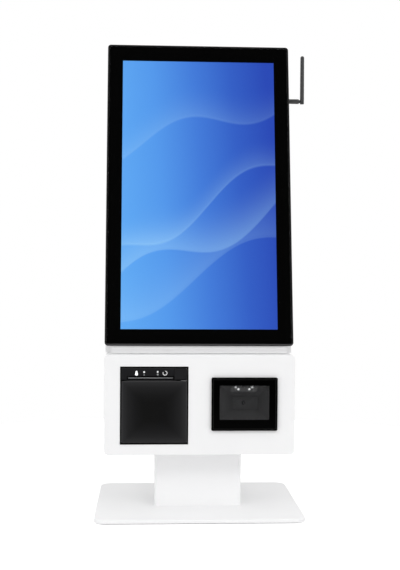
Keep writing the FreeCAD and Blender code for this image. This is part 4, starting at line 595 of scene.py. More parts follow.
def wound_paper():
    """The roll's ends show the edges of its turns as fine rings about the core. The turns are
    0.06 mm thick, and the rings are drawn 0.9 mm apart so that they show: the wave is half of
    one plus the sine of the radius, in turns of that pitch."""
    made, tree, shader = plain("wound_thermal_paper", "#F1F0EC", 0.7)
    low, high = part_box("paper_roll")
    y = add(tree, MATHS, along(tree, "Y"), (low.y + high.y) / 2, operation="SUBTRACT")
    z = add(tree, MATHS, along(tree, "Z"), (low.z + high.z) / 2, operation="SUBTRACT")
    square = add(tree, MATHS, z, z, operation="MULTIPLY")
    square = add(tree, MATHS, y, y, square, operation="MULTIPLY_ADD")
    radius = add(tree, MATHS, square, operation="SQRT")
    rings = add(tree, MATHS, radius, math.tau / RING_PITCH, operation="MULTIPLY")
    wave = add(tree, MATHS, rings, operation="SINE")
    wave = add(tree, MATHS, wave, 0.5, 0.5, operation="MULTIPLY_ADD")
    tint(tree, shader, wave, "#DEDCD6", "#F4F3EF")
    return made


MASK_GREEN = solder_mask()
PRINTER_BOARD = populated_board("printer_board_mask", "Z", PRINTER_BOARD_FACE)
BUTTON_BOARD = populated_board("button_board_mask", "Y", BUTTON_BOARD_FACE, -1.0)
PAPER = wound_paper()
print("boards and paper:", MASK_GREEN.name, PRINTER_BOARD.name, PAPER.name)

# %% [markdown]
# ## Glass and light
# The cover glass is clear. Its black border is an ink print on its rear face, made below as
# its own thin piece. The scanner's window is smoke-tinted, which could be traced through two
# surfaces, but a plain alpha gives it with less noise. Lamps and light guides give out their
# own light, because the photograph shows them brighter than white plastic beside them.

# %% Glass and lamps
CASE_HALF, CASE_TOP = 173.25 * MM, 585.5 * MM
CASE_TOP_Z = 891.2 * MM
LIT_EDGE = 0.9 * MM


def glowing(name, colour, strength):
    """A light guide, a lamp or a print with painted light: its own colour, given out at the given
    strength.
    """
    return plain(name, colour, 0.35, Emission_Color=srgb(colour), Emission_Strength=strength)[0]


def printed_ink():
    """Dead black ink behind the glass. Within 0.9 mm of the glass's ground edge, at the sides and
    the top, it is painted grey as a highlight."""
    made, tree, shader = plain("printed_black_ink", "#010101", 0.5, Specular_IOR_Level=0.0)
    aside = add(tree, MATHS, along(tree, "X"), operation="ABSOLUTE")
    inside = add(tree, MATHS, CASE_HALF, aside, operation="SUBTRACT")
    under = add(tree, MATHS, CASE_TOP_Z, along(tree, "Z"), operation="SUBTRACT")
    least = add(tree, MATHS, inside, under, operation="MINIMUM")
    edge = add(tree, MATHS, least, LIT_EDGE, operation="LESS_THAN")
    # The grey at the edge is a painted highlight.
    tint(tree, shader, edge, "#010101", "#505051")
    return made


# Clear glass shows itself only by what it mirrors.
GLASS = plain("clear_cover_glass", "#FFFFFF", 0.01, IOR=1.5, Transmission_Weight=1.0)[0]
# Half the light gets through the smoke tint, so the hood and camera behind it look dim.
SMOKE = plain("smoked_acrylic", "#2A2A2B", 0.08, Alpha=0.5)[0]
# A coated lens is dark and glossy, because it swallows nearly all the light.
LENS_GLASS = plain("coated_lens_glass", "#26272E", 0.05, Coat_Weight=0.6)[0]
# What is lit from behind looks even, with hardly a shade on its form.
MARK_BRIGHT = glowing("lit_light_guide", "#F4F6F7", 0.7)
MARK_MEDIUM = glowing("lit_light_guide_medium", "#D9DBDC", 0.3)
MARK_DIM = glowing("lit_light_guide_dim", "#8A8C8D", 0.12)
# The pad print is no lamp: its glow is painted light, so that it stays brighter than its shade.
MARK_PRINT = glowing("pad_print_with_painted_glow", "#F0F0F0", 0.25)
LAMP_BRIGHT = glowing("lit_lamp_dome", "#F2F4F4", 2.6)
LAMP_DIM = glowing("lit_lamp_dome_dim", "#E4E6E6", 1.8)
INK = printed_ink()
print("materials in the file:", len(bpy.data.materials))

# %% [markdown]
# ## Finish of the CAD nodes
# Pieces whose shape is already right keep their CAD mesh and only get a material. A table from
# finish to nodes is easier to check against the photograph than a line for each node.

# %% Give the nodes their materials
FINISHES = {
    WHITE_BASE: "base_plate",
    WHITE_COLUMN: "column",
    WHITE: "housing_shell front_panel upper_cabinet service_door",
    WHITE_OUTSIDE: "housing_back",
    ZINC: "base_screws head_bolts column_flanges lcd_rails board_tray hinge_pins antenna_pin "
          "printer_pin power_supply back_screws",
    GROUND: "cutter_frame cutter_blade",
    BLACK_STEEL: "tear_bar",
    BLUED: "fixed_blade",
    TURNED: "platen_shaft feed_motor",
    CHROME: "lock_barrel lock_plug lock_cam",
    ALUMINIUM: "heat_sink print_head",
    GOLD: "antenna_socket motor_pinion",
    BLACK_GRAINED: "power_entry data_sockets",
    BEZEL_BLACK: "printer_bezel",
    DOOR_BLACK: "printer_door",
    DARK_CHASSIS: "printer_chassis",
    KEY_BLACK: "release_button feed_button rocker",
    RIM_BLACK: "display_rim",
    FRAME_BLACK: "scanner_bezel",
    PANEL_BACK: "lcd_panel",
    HOOD_GREY: "scanner_hood",
    SHELL_WHITE: "display_shell",
    ANTENNA_GREY: "antenna_base antenna_whip",
    PAD_RUBBER: "base_pad",
    PLATEN_RUBBER: "platen_roller",
    ACETAL: "platen_bushes platen_gear idler_gear",
    CORE_GREY: "paper_core",
    MASK_GREEN: "mainboard scanner_camera",
    PRINTER_BOARD: "printer_board",
    BUTTON_BOARD: "button_board",
    PAPER: "paper_roll",
    GLASS: "cover_glass",
    SMOKE: "scanner_window",
    MARK_BRIGHT: "led_lenses",
    LAMP_BRIGHT: "scanner_lamps",
}


def finish_nodes():
    """Puts each finish into the slots of its nodes and returns the nodes that got none."""
    done = set()
    for finish, names in FINISHES.items():
        for name in names.split():
            for holder in NODES[name].material_slots:
                holder.material = finish
            done.add(name)
    return set(NODES) - done


print("nodes without a finish:", sorted(finish_nodes()))

# %% [markdown]
# ## Surfaces from arrays
# A new piece could be built from Blender's primitives, but then its form hides in edits. Here
# it is one or more grids of points, each worked out as a whole array from a formula. Grids
# that close on themselves share their first and last rows once equal points are welded, and a
# face that has shrunk to a line at a pole or corner loses its doubled corner in the same step.

# %% Grids to meshes
WELD = 1e-7
SMOOTH_ANGLE = math.radians(35)


def quads_of(rows, columns):
    """The four corner numbers of each cell of a grid, in order round the cell."""
    k = np.arange(rows * columns).reshape(rows, columns)
    corners = (k[:-1, :-1], k[1:, :-1], k[1:, 1:], k[:-1, 1:])
    return np.stack(corners, -1).reshape(-1, 4)


def mesh_of(name, grids, smooth):
    """Welds the grids into one mesh. Points are equal if they fall on the same step of 0.1
    micrometres. Of two equal corners in a face one goes, and a face with under three goes."""
    points = np.concatenate([g.reshape(-1, 3) for g in grids])
    starts = np.cumsum([0] + [g.shape[0] * g.shape[1] for g in grids[:-1]])
    quads = np.concatenate([quads_of(*g.shape[:2]) + s for g, s in zip(grids, starts)])
    steps = np.round(points / WELD).astype(np.int64)
    first, back = np.unique(steps, axis=0, return_index=True, return_inverse=True)[1:]
    quads = back.reshape(-1)[quads]
    keep = quads != np.roll(quads, -1, axis=1)
    counts = keep.sum(1)
    keep[counts < 3] = False
    counts = counts[counts > 2]
    loops = quads[keep]
    mesh = bpy.data.meshes.new(name)
    mesh.vertices.add(len(first))
    mesh.vertices.foreach_set("co", points[first].ravel())
    mesh.loops.add(len(loops))
    mesh.loops.foreach_set("vertex_index", loops)
    mesh.polygons.add(len(counts))
    mesh.polygons.foreach_set("loop_start", np.cumsum(counts) - counts)
    mesh.polygons.foreach_set("use_smooth", np.full(len(counts), smooth))
    mesh.update(calc_edges=True)
    mesh.validate()
    return mesh


def piece(name, grids, body, finish, replaces=(), smooth=True):
    """Makes the mesh, gives it its finish and lets it ride on a CAD body. A smooth piece keeps
    the edges sharp whose faces turn by more than 35 degrees."""
    mesh = mesh_of(name, grids, smooth)
    mesh.materials.append(finish)
    made = bpy.data.objects.new(name, mesh)
    bpy.context.collection.objects.link(made)
    if smooth:
        with bpy.context.temp_override(object=made, selected_objects=[made],
                                       active_object=made, selected_editable_objects=[made]):
            bpy.ops.object.shade_auto_smooth(angle=SMOOTH_ANGLE)
    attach(made, body)
    if replaces:
        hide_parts(*replaces)
    return made


print("a grid of 3 by 4 points has", len(quads_of(3, 4)), "cells")

# %% [markdown]
# ## Turned solids and stacked loops
# Most small hardware is one of three forms: a turned solid, a block with softened edges, or an
# outline pushed along an axis. Each is one closed grid of points. The sign of its volume tells
# whether its faces look outwards, so no piece depends on the order its corners were given in.

# %% Turned and stacked solids
def outward(grid):
    """A closed grid, its columns reversed if its volume comes out negative. Six times the
    volume is the sum over triangles of corner a times the cross product of b and c."""
    a, b, c, d = grid[:-1, :-1], grid[1:, :-1], grid[1:, 1:], grid[:-1, 1:]
    volume = (a * (np.cross(b, c) + np.cross(c, d))).sum()
    return grid if volume > 0 else grid[:, ::-1]


def turned(profile, centre, axis, steps=24):
    """Each profile point (radius r, place t along the axis) is carried round the axis: at angle
    a it lies at r cos a and r sin a across it. The profile closes on itself or on the axis."""
    r, t = np.asarray(profile, float).T
    a = np.linspace(0, math.tau, steps + 1)[:, None]
    k = "xyz".index(axis)
    grid = np.empty((steps + 1, len(r), 3))
    grid[..., k] = t
    grid[..., (k + 1) % 3] = r * np.cos(a)
    grid[..., (k + 2) % 3] = r * np.sin(a)
    return outward(grid + np.asarray(centre))


def stacked(loops, levels, up="z"):
    """Closed loops of points, one at each level along the up axis, shut at both ends by the
    middle of the first and last loop. Loop columns are the two axes that follow up."""
    rows = np.stack(loops)
    middles = rows[:, :-1].mean(1, keepdims=True) + 0 * rows
    rows = np.concatenate([middles[:1], rows, middles[-1:]])
    levels = np.concatenate([levels[:1], levels, levels[-1:]])
    k = "xyz".index(up)
    grid = np.empty(rows.shape[:2] + (3,))
    grid[..., k] = levels[:, None]
    grid[..., (k + 1) % 3], grid[..., (k + 2) % 3] = rows[..., 0], rows[..., 1]
    return outward(grid)


def rounded(half_a, half_b, radius, steps):
    """A rectangle as a closed loop, each corner a quarter circle in steps, or one point."""
    quarter = np.arange(4) * math.pi / 2
    angle = (quarter[:, None] + np.linspace(0, math.pi / 2, steps + 1)).ravel()
    side_a = np.sign(np.cos(quarter + math.pi / 4)).repeat(steps + 1)
    side_b = np.sign(np.sin(quarter + math.pi / 4)).repeat(steps + 1)
    loop = np.column_stack([side_a * (half_a - radius) + radius * np.cos(angle),
                            side_b * (half_b - radius) + radius * np.sin(angle)])
    return np.vstack([loop, loop[:1]])


print("a rounded corner in 3 steps gives a loop of", len(rounded(2, 1, 0.5, 3)), "points")

# %% [markdown]
# ## Blocks, cups and rings
# A block could be a cube with a Bevel modifier. Written as stacked loops its edges are eased
# in the same way, and the same loops, turned inwards over a rim, give a socket or an open case.

# %% Blocks, cups and rings
CORNER_STEPS = 3


def across(low, high, up):
    """The number of the up axis, and the middle and half size on the two axes after it."""
    k = "xyz".index(up)
    others = [(k + 1) % 3, (k + 2) % 3]
    return k, ((low + high) / 2)[others], ((high - low) / 2)[others]


def block(low, high, corner=0.0, edge=0.0, up="z"):
    """A box whose edges along up are rounded by corner and whose two ends are eased by edge:
    at angle a the loop is drawn in by edge (1 - sin a), edge (1 - cos a) from the end."""
    low, high = np.asarray(low, float), np.asarray(high, float)
    k, centre, half = across(low, high, up)
    angle = np.linspace(0 if edge else math.pi / 2, math.pi / 2, 3 if edge else 1)
    inset, rise = edge * (1 - np.sin(angle)), edge * (1 - np.cos(angle))
    insets = np.concatenate([inset, inset[::-1]])
    levels = np.concatenate([low[k] + rise, high[k] - rise[::-1]])
    steps = CORNER_STEPS if corner else 0
    loops = [centre + rounded(*(half - n), max(corner - n, 0.0), steps) for n in insets]
    return stacked(loops, levels, up)


def cup(low, high, wall, deep, up="z", mouth=1, corner=0.0):
    """A block with a well in its high end, or in its low end if mouth is -1. The loops run up
    the outside, over the rim and down the inside to the floor."""
    low, high = np.asarray(low, float), np.asarray(high, float)
    k, centre, half = across(low, high, up)
    foot, rim = (low[k], high[k]) if mouth > 0 else (high[k], low[k])
    steps = CORNER_STEPS if corner else 0
    outer = centre + rounded(*half, corner, steps)
    inner = centre + rounded(*(half - wall), max(corner - wall, 0.0), steps)
    floor = rim - mouth * deep
    return stacked([outer, outer, inner, inner], np.array([foot, rim, rim, floor]), up)


def row_of(count, first, step, size):
    """Equal blocks in a row: their low corners start at first and go on by step."""
    corners = np.asarray(first, float) + np.arange(count)[:, None] * np.asarray(step, float)
    return [block(corner, corner + size) for corner in corners]


def about(x, z, half_x, half_z, y0, y1, **form):
    """A block centred at x and z, from y0 back to y1."""
    return block((x - half_x, y0, z - half_z), (x + half_x, y1, z + half_z), up="y", **form)


def ring_band(centre, inner, outer, start, turn, front, back, steps=48):
    """A flat band round an upright circle seen from the front. At angle a its section has its
    corners at the inner and outer radius, at front and back; it closes to a point at its ends."""
    r = np.array([inner, outer, outer, inner, inner])
    y = np.array([front, front, back, back, front])
    a = np.radians(np.linspace(start, start + turn, steps + 1))[:, None]
    grid = np.stack([centre[0] + r * np.cos(a), y + 0 * a, centre[1] + r * np.sin(a)], -1)
    ends = grid[[0, -1], :4].mean(1, keepdims=True) + np.zeros((1, 5, 1))
    return outward(np.concatenate([ends[:1], grid, ends[1:]]))


print("a plain block has", len(quads_of(*block((0, 0, 0), (1, 1, 1)).shape[:2])), "cells")

# %% [markdown]
# ## The display
# The glass leans back by about ten degrees. Its pieces could be made upright and then turned,
# but a finished piece has to sit unturned, so the display has a frame of its own: x across, d
# into the display and h up the glass, and one function takes its points to the kiosk's frame.

# %% The display's leaning frame
TILT = math.radians(10.2)
DISPLAY_FOOT = np.array([0.0, -79.7, 315.5]) * MM
SCREEN_W, SCREEN_H = 296.5 * MM, 527.0 * MM
SCREEN_LOW = 30.7 * MM
GLASS_BACK = 3.2 * MM
PICTURE_DEPTH = 4.0 * MM


def lean(x, d, h):
    """Points of the display's frame in the kiosk's frame: the depth and the height are turned
    back by the tilt about the glass's lower front edge."""
    x, d, h = np.broadcast_arrays(x, d, h)
    y = d * math.cos(TILT) + h * math.sin(TILT)
    z = h * math.cos(TILT) - d * math.sin(TILT)
    return np.stack([x, y, z], -1) + DISPLAY_FOOT


top_middle = lean(0.0, 0.0, CASE_TOP)
print("the glass ends %.1f mm above the table" % (top_middle[2] / MM))

# %% [markdown]
# ## The picture on the screen
# The screen shows a plain desktop background: sky blue on the left falling to deep blue on the
# right, crossed by a few soft ribbons of light. An image would do, but a few formulas stay
# sharp at any distance. The picture is emission only, so it looks lit, and its pattern reads
# the piece's own UV map, which runs from 0 to 1 each way.

# %% Ribbons of light
RIBBONS = (
    # height at the left, rise, swing, waves, start, width, strength
    (0.16, 0.30, 0.065, 0.9, 0.12, 0.190, 0.30),
    (0.27, 0.33, 0.050, 1.1, 0.38, 0.110, 0.22),
    (0.07, 0.24, 0.060, 0.8, 0.62, 0.230, 0.20),
    (0.66, 0.18, 0.050, 1.0, 0.86, 0.130, 0.16),
)
ONSET = 30.0
EDGE_WIDTH, EDGE_LIGHT = 0.006, 0.9
BLUES = ((0.0, "#62ACF6"), (0.3, "#5599EC"), (0.55, "#447CDA"), (0.78, "#3560C6"),
         (1.0, "#2B4AB6"))


def ribbon(tree, u, v, height, rise, swing, waves, start, width, strength):
    """A veil of light above the line v = height + rise u + swing sin(2 pi (waves u + start)).
    At a distance of w widths over the line it is (1 - w) squared, and it ends sharply at the
    line itself, where a fine bright edge lies."""
    phase = add(tree, MATHS, u, waves * math.tau, start * math.tau, operation="MULTIPLY_ADD")
    wave = add(tree, MATHS, phase, operation="SINE")
    wave = add(tree, MATHS, wave, swing, operation="MULTIPLY")
    line = add(tree, MATHS, u, rise, height, operation="MULTIPLY_ADD")
    off = add(tree, MATHS, v, line, operation="SUBTRACT")
    off = add(tree, MATHS, off, wave, operation="SUBTRACT")
    away = add(tree, MATHS, off, width, operation="DIVIDE")
    fade = add(tree, MATHS, 1.0, away, operation="SUBTRACT", use_clamp=True)
    fade = add(tree, MATHS, fade, fade, operation="MULTIPLY")
    onset = add(tree, MATHS, away, ONSET, operation="MULTIPLY", use_clamp=True)
    veil = add(tree, MATHS, fade, onset, operation="MULTIPLY")
    near = add(tree, MATHS, away, operation="ABSOLUTE")
    near = add(tree, MATHS, near, width / EDGE_WIDTH, operation="MULTIPLY")
    edge = add(tree, MATHS, 1.0, near, operation="SUBTRACT", use_clamp=True)
    light = add(tree, MATHS, edge, EDGE_LIGHT, veil, operation="MULTIPLY_ADD")
    return add(tree, MATHS, light, strength, operation="MULTIPLY")


def picture_light():
    """The blues run with 0.94 u + 0.12 v. The ribbons' light is added up, dimmed towards the
    right by 1.15 - 0.6 u, and mixes the blue with a pale sky colour."""
    made, tree, shader = plain("lit_screen_picture", "#000000", 0.6, Specular_IOR_Level=0.0)
    where = add(tree, "ShaderNodeSeparateXYZ", add(tree, "ShaderNodeTexCoord").outputs["UV"])
    u, v = where.outputs["X"], where.outputs["Y"]
    side = add(tree, MATHS, u, 0.94, operation="MULTIPLY")
    side = add(tree, MATHS, v, 0.12, side, operation="MULTIPLY_ADD")
    light = 0.0
    for values in RIBBONS:
        light = add(tree, MATHS, light, ribbon(tree, u, v, *values), operation="ADD")
    dimmed = add(tree, MATHS, u, -0.6, 1.15, operation="MULTIPLY_ADD")
    light = add(tree, MATHS, light, dimmed, operation="MULTIPLY")
    colour = blend(tree, light, stops(tree, side, BLUES), srgb("#A6DAFF"))
    feed(shader, "Emission Color", colour)
    feed(shader, "Emission Strength", 1.08)
    return made


SCREEN_PICTURE = picture_light()
print("ribbons:", len(RIBBONS))

# %% [markdown]
# The picture is a flat sheet just behind the glass. A coarse grid is enough for its shape, and
# its UV map is worked out from the same size, so the pattern fits the lit area exactly.

# %% The lit picture
def add_picture_map(made):
    """A UV map: u is x over the screen's width from its left edge, and v is the height up the
    glass over the screen's height from its foot."""
    mesh = made.data
    corners = np.empty(len(mesh.loops), np.int32)
    mesh.loops.foreach_get("vertex_index", corners)
    points = np.empty(len(mesh.vertices) * 3)
    mesh.vertices.foreach_get("co", points)
    local = points.reshape(-1, 3) - DISPLAY_FOOT
    height = local[:, 1] * math.sin(TILT) + local[:, 2] * math.cos(TILT)
    uv = np.stack([local[:, 0] / SCREEN_W + 0.5, (height - SCREEN_LOW) / SCREEN_H], -1)
    layer = mesh.uv_layers.new(name="picture")
    layer.data.foreach_set("uv", uv[corners].astype(np.float32).ravel())


def lit_sheet(columns, rows):
    """A plane at the picture's depth: x and h run over the screen as u and v go from 0 to 1."""
    v, u = np.meshgrid(np.linspace(0, 1, rows), np.linspace(0, 1, columns))
    return lean((u - 0.5) * SCREEN_W, PICTURE_DEPTH, SCREEN_LOW + v * SCREEN_H)


picture = piece("screen_picture", [lit_sheet(11, 19)], "kiosk", SCREEN_PICTURE,
                smooth=False)
add_picture_map(picture)
print("picture faces:", len(picture.data.polygons))

# %% [markdown]
# Ink is printed on the glass's rear face. It could be part of the glass's material, but then
# it would lie on the front face too, so it is a thin ring of its own: a section of four
# corners carried round the screen. It laps over the screen's edge, as a real border does.

# %% The printed border
INK_LAP, FOOT_LAP = 1.0 * MM, 0.1 * MM
INK_GAP, INK_THICKNESS = 0.02 * MM, 0.10 * MM
GLASS_LOW = 3.5 * MM


def frame_ring(inner, outer, front, back):
    """A flat ring with a rectangular section. inner and outer are (half width, lower edge,
    upper edge); each corner of the section is carried round the four corners of the ring."""
    def loop(edge):
        """The ring's four corners at one edge of the section, and the first again."""
        half, low, high = edge
        return np.array([(-half, low), (half, low), (half, high), (-half, high), (-half, low)])
    section = [(inner, front), (inner, back), (outer, back), (outer, front), (inner, front)]
    across_up = np.stack([loop(edge) for edge, depth in section])
    depths = np.array([depth for edge, depth in section])[:, None]
    return lean(across_up[..., 0], depths, across_up[..., 1])


screen_top = SCREEN_LOW + SCREEN_H
screen_edge = (SCREEN_W / 2 - INK_LAP, SCREEN_LOW + FOOT_LAP, screen_top - INK_LAP)
glass_edge = (CASE_HALF, GLASS_LOW, CASE_TOP)
ink_front = GLASS_BACK + INK_GAP
ink_ring = frame_ring(screen_edge, glass_edge, ink_front, ink_front + INK_THICKNESS)
border = piece("border_print", [ink_ring], "kiosk", INK, smooth=False)
print("border faces:", len(border.data.polygons))

# %% [markdown]
# ## The printer's lights and the feed key
# Behind the strip sit five light guides: a flask-shaped one and two pairs of dots. Each is a
# clear moulding whose face is a soft crown. A flat disc would do from afar, but the crown
# catches the light as the real one does. They are lit at three strengths, so they are three
# pieces. The feed key has a broken white ring pad-printed in its groove.

# %% Light guides
LENS_FRONT, LENS_BACK = (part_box("led_lenses")[i].y for i in (0, 1))
LENS_CROWN = 0.15 * MM
MARK_Z = 267.0 * MM
FLASK_X, DOTS_X, PAIR_X = -116.7 * MM, -102.8 * MM, -77.9 * MM
FLASK_HALF, FLASK_FOOT, FLASK_NECK = 4.2 * MM, 2.6 * MM, 1.5 * MM


def light_guide(outline, x, z):
    """An outline of (up, across) points runs from back to front, then in to a crown: at angle a
    it is scaled by cos a and lies crown (1 - sin a) behind the foremost point."""
    angle = np.linspace(0, math.pi / 2, 6)[:-1]
    scales = np.concatenate([[1.0], np.cos(angle)])
    levels = np.concatenate([[LENS_BACK], LENS_FRONT + LENS_CROWN * (1 - np.sin(angle))])
    return stacked([outline * scale + (z, x) for scale in scales], levels, "y")


def flask_outline(half_height, foot, neck):
    """The half width falls from foot to neck by a smooth step about the middle, and is drawn in
    to nothing at both ends by a quarter circle."""
    up = half_height * np.sin(np.linspace(-math.pi / 2, math.pi / 2, 25))
    share = np.clip(up / (0.7 * half_height) * 0.5 + 0.6, 0, 1)
    half = foot + (neck - foot) * share ** 2 * (3 - 2 * share)
    ends = np.clip((np.abs(up) - 0.8 * half_height) / (0.2 * half_height), 0, 1)
    half = half * np.sqrt(1 - ends ** 2)
    there_and_back = [np.concatenate([up, up[-2::-1]]), np.concatenate([half, -half[-2::-1]])]
    return np.column_stack(there_and_back)


def dot(x, up, radius):
    """A round light guide, its middle this many millimetres over the row's height."""
    angle = np.linspace(0, math.tau, 25)[:, None]
    outline = radius * MM * np.hstack([np.cos(angle), np.sin(angle)])
    return light_guide(outline, x, MARK_Z + up * MM)


def guide_piece(name, grids, finish):
    """A piece that stands for some of the CAD node that holds all five guides."""
    piece(name, grids, "kiosk", finish, ["led_lenses"])


flask = light_guide(flask_outline(FLASK_HALF, FLASK_FOOT, FLASK_NECK), FLASK_X, MARK_Z)
guide_piece("flask_light_guide", [flask], MARK_BRIGHT)
guide_piece("upper_dot_light_guides", [dot(DOTS_X, 1.8, 1.7), dot(PAIR_X, 2.2, 1.6)], MARK_MEDIUM)
guide_piece("lower_dot_light_guides", [dot(DOTS_X, -3.4, 1.1), dot(PAIR_X, -2.6, 1.6)], MARK_DIM)
print("the guides are %.1f mm deep" % ((LENS_BACK - LENS_FRONT) / MM))

# %% [markdown]
# Pad printing lays a film of paint into the key's groove. The film is drawn 0.1 mm thick, so
# that it stands clear of the groove's floor. The ring is open at its upper left.

# %% The feed key's ring
GROOVE = 0.3 * MM
FILM_PROUD, FILM_SUNK = 0.08 * MM, 0.02 * MM
RING_INNER, RING_OUTER = 3.05 * MM, 4.35 * MM
RING_START, RING_TURN = 148, 296

key_low, key_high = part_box("feed_button")
key_middle = ((key_low.x + key_high.x) / 2, (key_low.z + key_high.z) / 2)
groove_floor = key_low.y + GROOVE
ring = ring_band(key_middle, RING_INNER, RING_OUTER, RING_START, RING_TURN,
                 groove_floor - FILM_PROUD, groove_floor + FILM_SUNK)
piece("feed_ring_print", [ring], "feed_key", MARK_PRINT)
print("key ring centre", [round(v / MM, 1) for v in key_middle])

# %% [markdown]
# ## Behind the scanner's window
# The tapered hood ends at the camera: a painted shield, a square lens mount and a short barrel
# with a glass lens. All of them are fused in one CAD node, which a single material can't tell
# apart, so each is made again as a piece of its own.

# %% Camera
cam_low, cam_high = (np.array(v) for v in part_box("scanner_camera"))
HOOD_BACK = -63.0 * MM
HOOD_BACK_HALF = np.array([25.0, 12.5]) * MM
LENS_AT = np.array([-3.9, 1.4]) * MM
LENS_RADIUS = 4.2 * MM
CAMERA_BOARD_HALF = np.array([29.0, 17.5]) * MM
MOUNT_HALF = 6.0 * MM
SHIELD_GAP = 0.3 * MM
BOARD_FRONT = HOOD_BACK + 0.3 * MM
CAMERA_BOARD_BACK = BOARD_FRONT + 1.6 * MM
SHIELD_FRONT = BOARD_FRONT - 0.7 * MM


def camera_piece(name, grids, finish, smooth=True):
    """A piece that stands for some of the CAD node of the camera and its board."""
    piece(name, grids, "kiosk", finish, ["scanner_camera"], smooth)


def lens_pieces(x, z):
    """The barrel runs from behind its mount to its lip, then down a cone to the lens seat. The
    lens is a disc whose face is a quarter ellipse: r cos a wide and 0.8 sin a mm high."""
    r, front = LENS_RADIUS, cam_low[1]
    foot, seat = BOARD_FRONT - 3 * MM, front + 2.4 * MM
    barrel = [(0, foot), (r, foot), (r, front + 0.4 * MM), (r - 0.3 * MM, front),
              (r - 0.8 * MM, front), (r - 1.4 * MM, front + 1.4 * MM), (1.2 * MM, seat), (0, seat)]
    camera_piece("scanner_lens_barrel", [turned(barrel, (x, 0, z), "y", 40)], BARREL_GREY)
    angle = np.linspace(0, math.pi / 2, 6)
    edge = r - 1.5 * MM
    cap = np.column_stack([edge * np.cos(angle), front + 1.6 * MM - 0.8 * MM * np.sin(angle)])
    disc = [(0, front + 2.2 * MM), (edge, front + 2.2 * MM), *cap]
    camera_piece("scanner_lens", [turned(disc, (x, 0, z), "y", 32)], LENS_GLASS)


def camera_pieces():
    """From the back: a chip and a plug, the board, its shield and lens mount, and the lens."""
    x, z = ((cam_low + cam_high) / 2)[[0, 2]]
    board = about(x, z, *CAMERA_BOARD_HALF, BOARD_FRONT, CAMERA_BOARD_BACK, corner=1.5 * MM)
    camera_piece("scanner_board", [board], MASK_GREEN, smooth=False)
    shield = about(x, z, *(HOOD_BACK_HALF - SHIELD_GAP), SHIELD_FRONT, BOARD_FRONT,
                   corner=1 * MM)
    lens_x, lens_z = x + LENS_AT[0], z + LENS_AT[1]
    mount = about(lens_x, lens_z, MOUNT_HALF, MOUNT_HALF, BOARD_FRONT - 3.6 * MM,
                  SHIELD_FRONT, corner=1 * MM, edge=0.4 * MM)
    camera_piece("scanner_shield", [shield, mount], SHIELD_GREY)
    lens_pieces(lens_x, lens_z)
    chip = about(x, z, 12 * MM, 8 * MM, CAMERA_BOARD_BACK, BOARD_FRONT + 4 * MM, edge=0.3 * MM)
    plug = cup((x - 24 * MM, CAMERA_BOARD_BACK, z - 8 * MM),
               (x - 16 * MM, BOARD_FRONT + 8 * MM, z + 8 * MM), 1 * MM, 5 * MM, "y")
    camera_piece("scanner_board_parts", [chip, plug], CHIP_BLACK, smooth=False)


camera_pieces()
print("camera depth %.1f mm" % ((cam_high[1] - cam_low[1]) / MM))

# %% [markdown]
# Over the window's top edge hangs a pale holder with four lamp domes, the inner pair lower and
# brighter than the outer pair. The domes give out light themselves, which costs no lamp in the
# scene and shows the same in every view.

# %% Lamps
# Offsets from the middle in millimetres, then height, face and radius.
INNER_DOMES = ((-10.0, 10.2), 237.0 * MM, -103.1 * MM, 2.0 * MM)
OUTER_DOMES = ((-15.2, 15.6), 240.6 * MM, -104.3 * MM, 1.9 * MM)
HOLDER_SECTION = np.array([(-104.2, 240.6), (-97.2, 236.4), (-97.2, 234.2), (-100.6, 232.2),
                           (-102.0, 232.2), (-104.2, 240.6)]) * MM


def lamp_piece(name, grids, finish, smooth=True):
    """A piece that stands for some of the CAD node of the lamps."""
    piece(name, grids, "kiosk", finish, ["scanner_lamps"], smooth)


def domes(middle, offsets, z, face, radius):
    """Each dome is a short sleeve with a half ball in front: at angle a it is radius cos a wide
    and reaches radius sin a past a line 0.4 mm in front of its face."""
    angle = np.linspace(0, math.pi / 2, 7)
    cap = np.column_stack([radius * np.cos(angle), face - 0.4 * MM - radius * np.sin(angle)])
    foot = face + 1.2 * MM
    profile = [(0, foot), (radius, foot), *cap]
    return [turned(profile, (middle + dx * MM, 0, z), "y", 24) for dx in offsets]


def lamp_pieces():
    """The holder hangs from the sloping top wall of the hood. Its section is written in y and z:
    along the wall, down behind, forward under the domes and up its front."""
    low, high = (np.array(v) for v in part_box("scanner_lamps"))
    middle = (low[0] + high[0]) / 2 - 0.6 * MM
    half = (high[0] - low[0]) / 2 - 1.6 * MM
    holder = stacked([HOLDER_SECTION] * 2, middle + np.array([-half, half]), "x")
    lamp_piece("lamp_holder", [holder], HOLDER_GREY, smooth=False)
    lamp_piece("inner_lamp_domes", domes(middle, *INNER_DOMES), LAMP_BRIGHT)
    lamp_piece("outer_lamp_domes", domes(middle, *OUTER_DOMES), LAMP_DIM)


lamp_pieces()
print("lamp domes:", len(INNER_DOMES[0]) + len(OUTER_DOMES[0]))

# %% [markdown]
# ## Screws
# A pan-head screw is a turned crown with a cross pressed into it. Cutting the cross with a
# Boolean would leave long thin faces. On a polar grid the crown's height is a function of the
# radius, less the depth of the cross wherever the point lies in one of its two arms.

# %% Screws of the back plate
# Head radius, head height, shank radius and length in millimetres.
BACK_SCREW = (2.8, 1.6, 1.5, 2.0)
PLATE_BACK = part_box("housing_back")[1].y


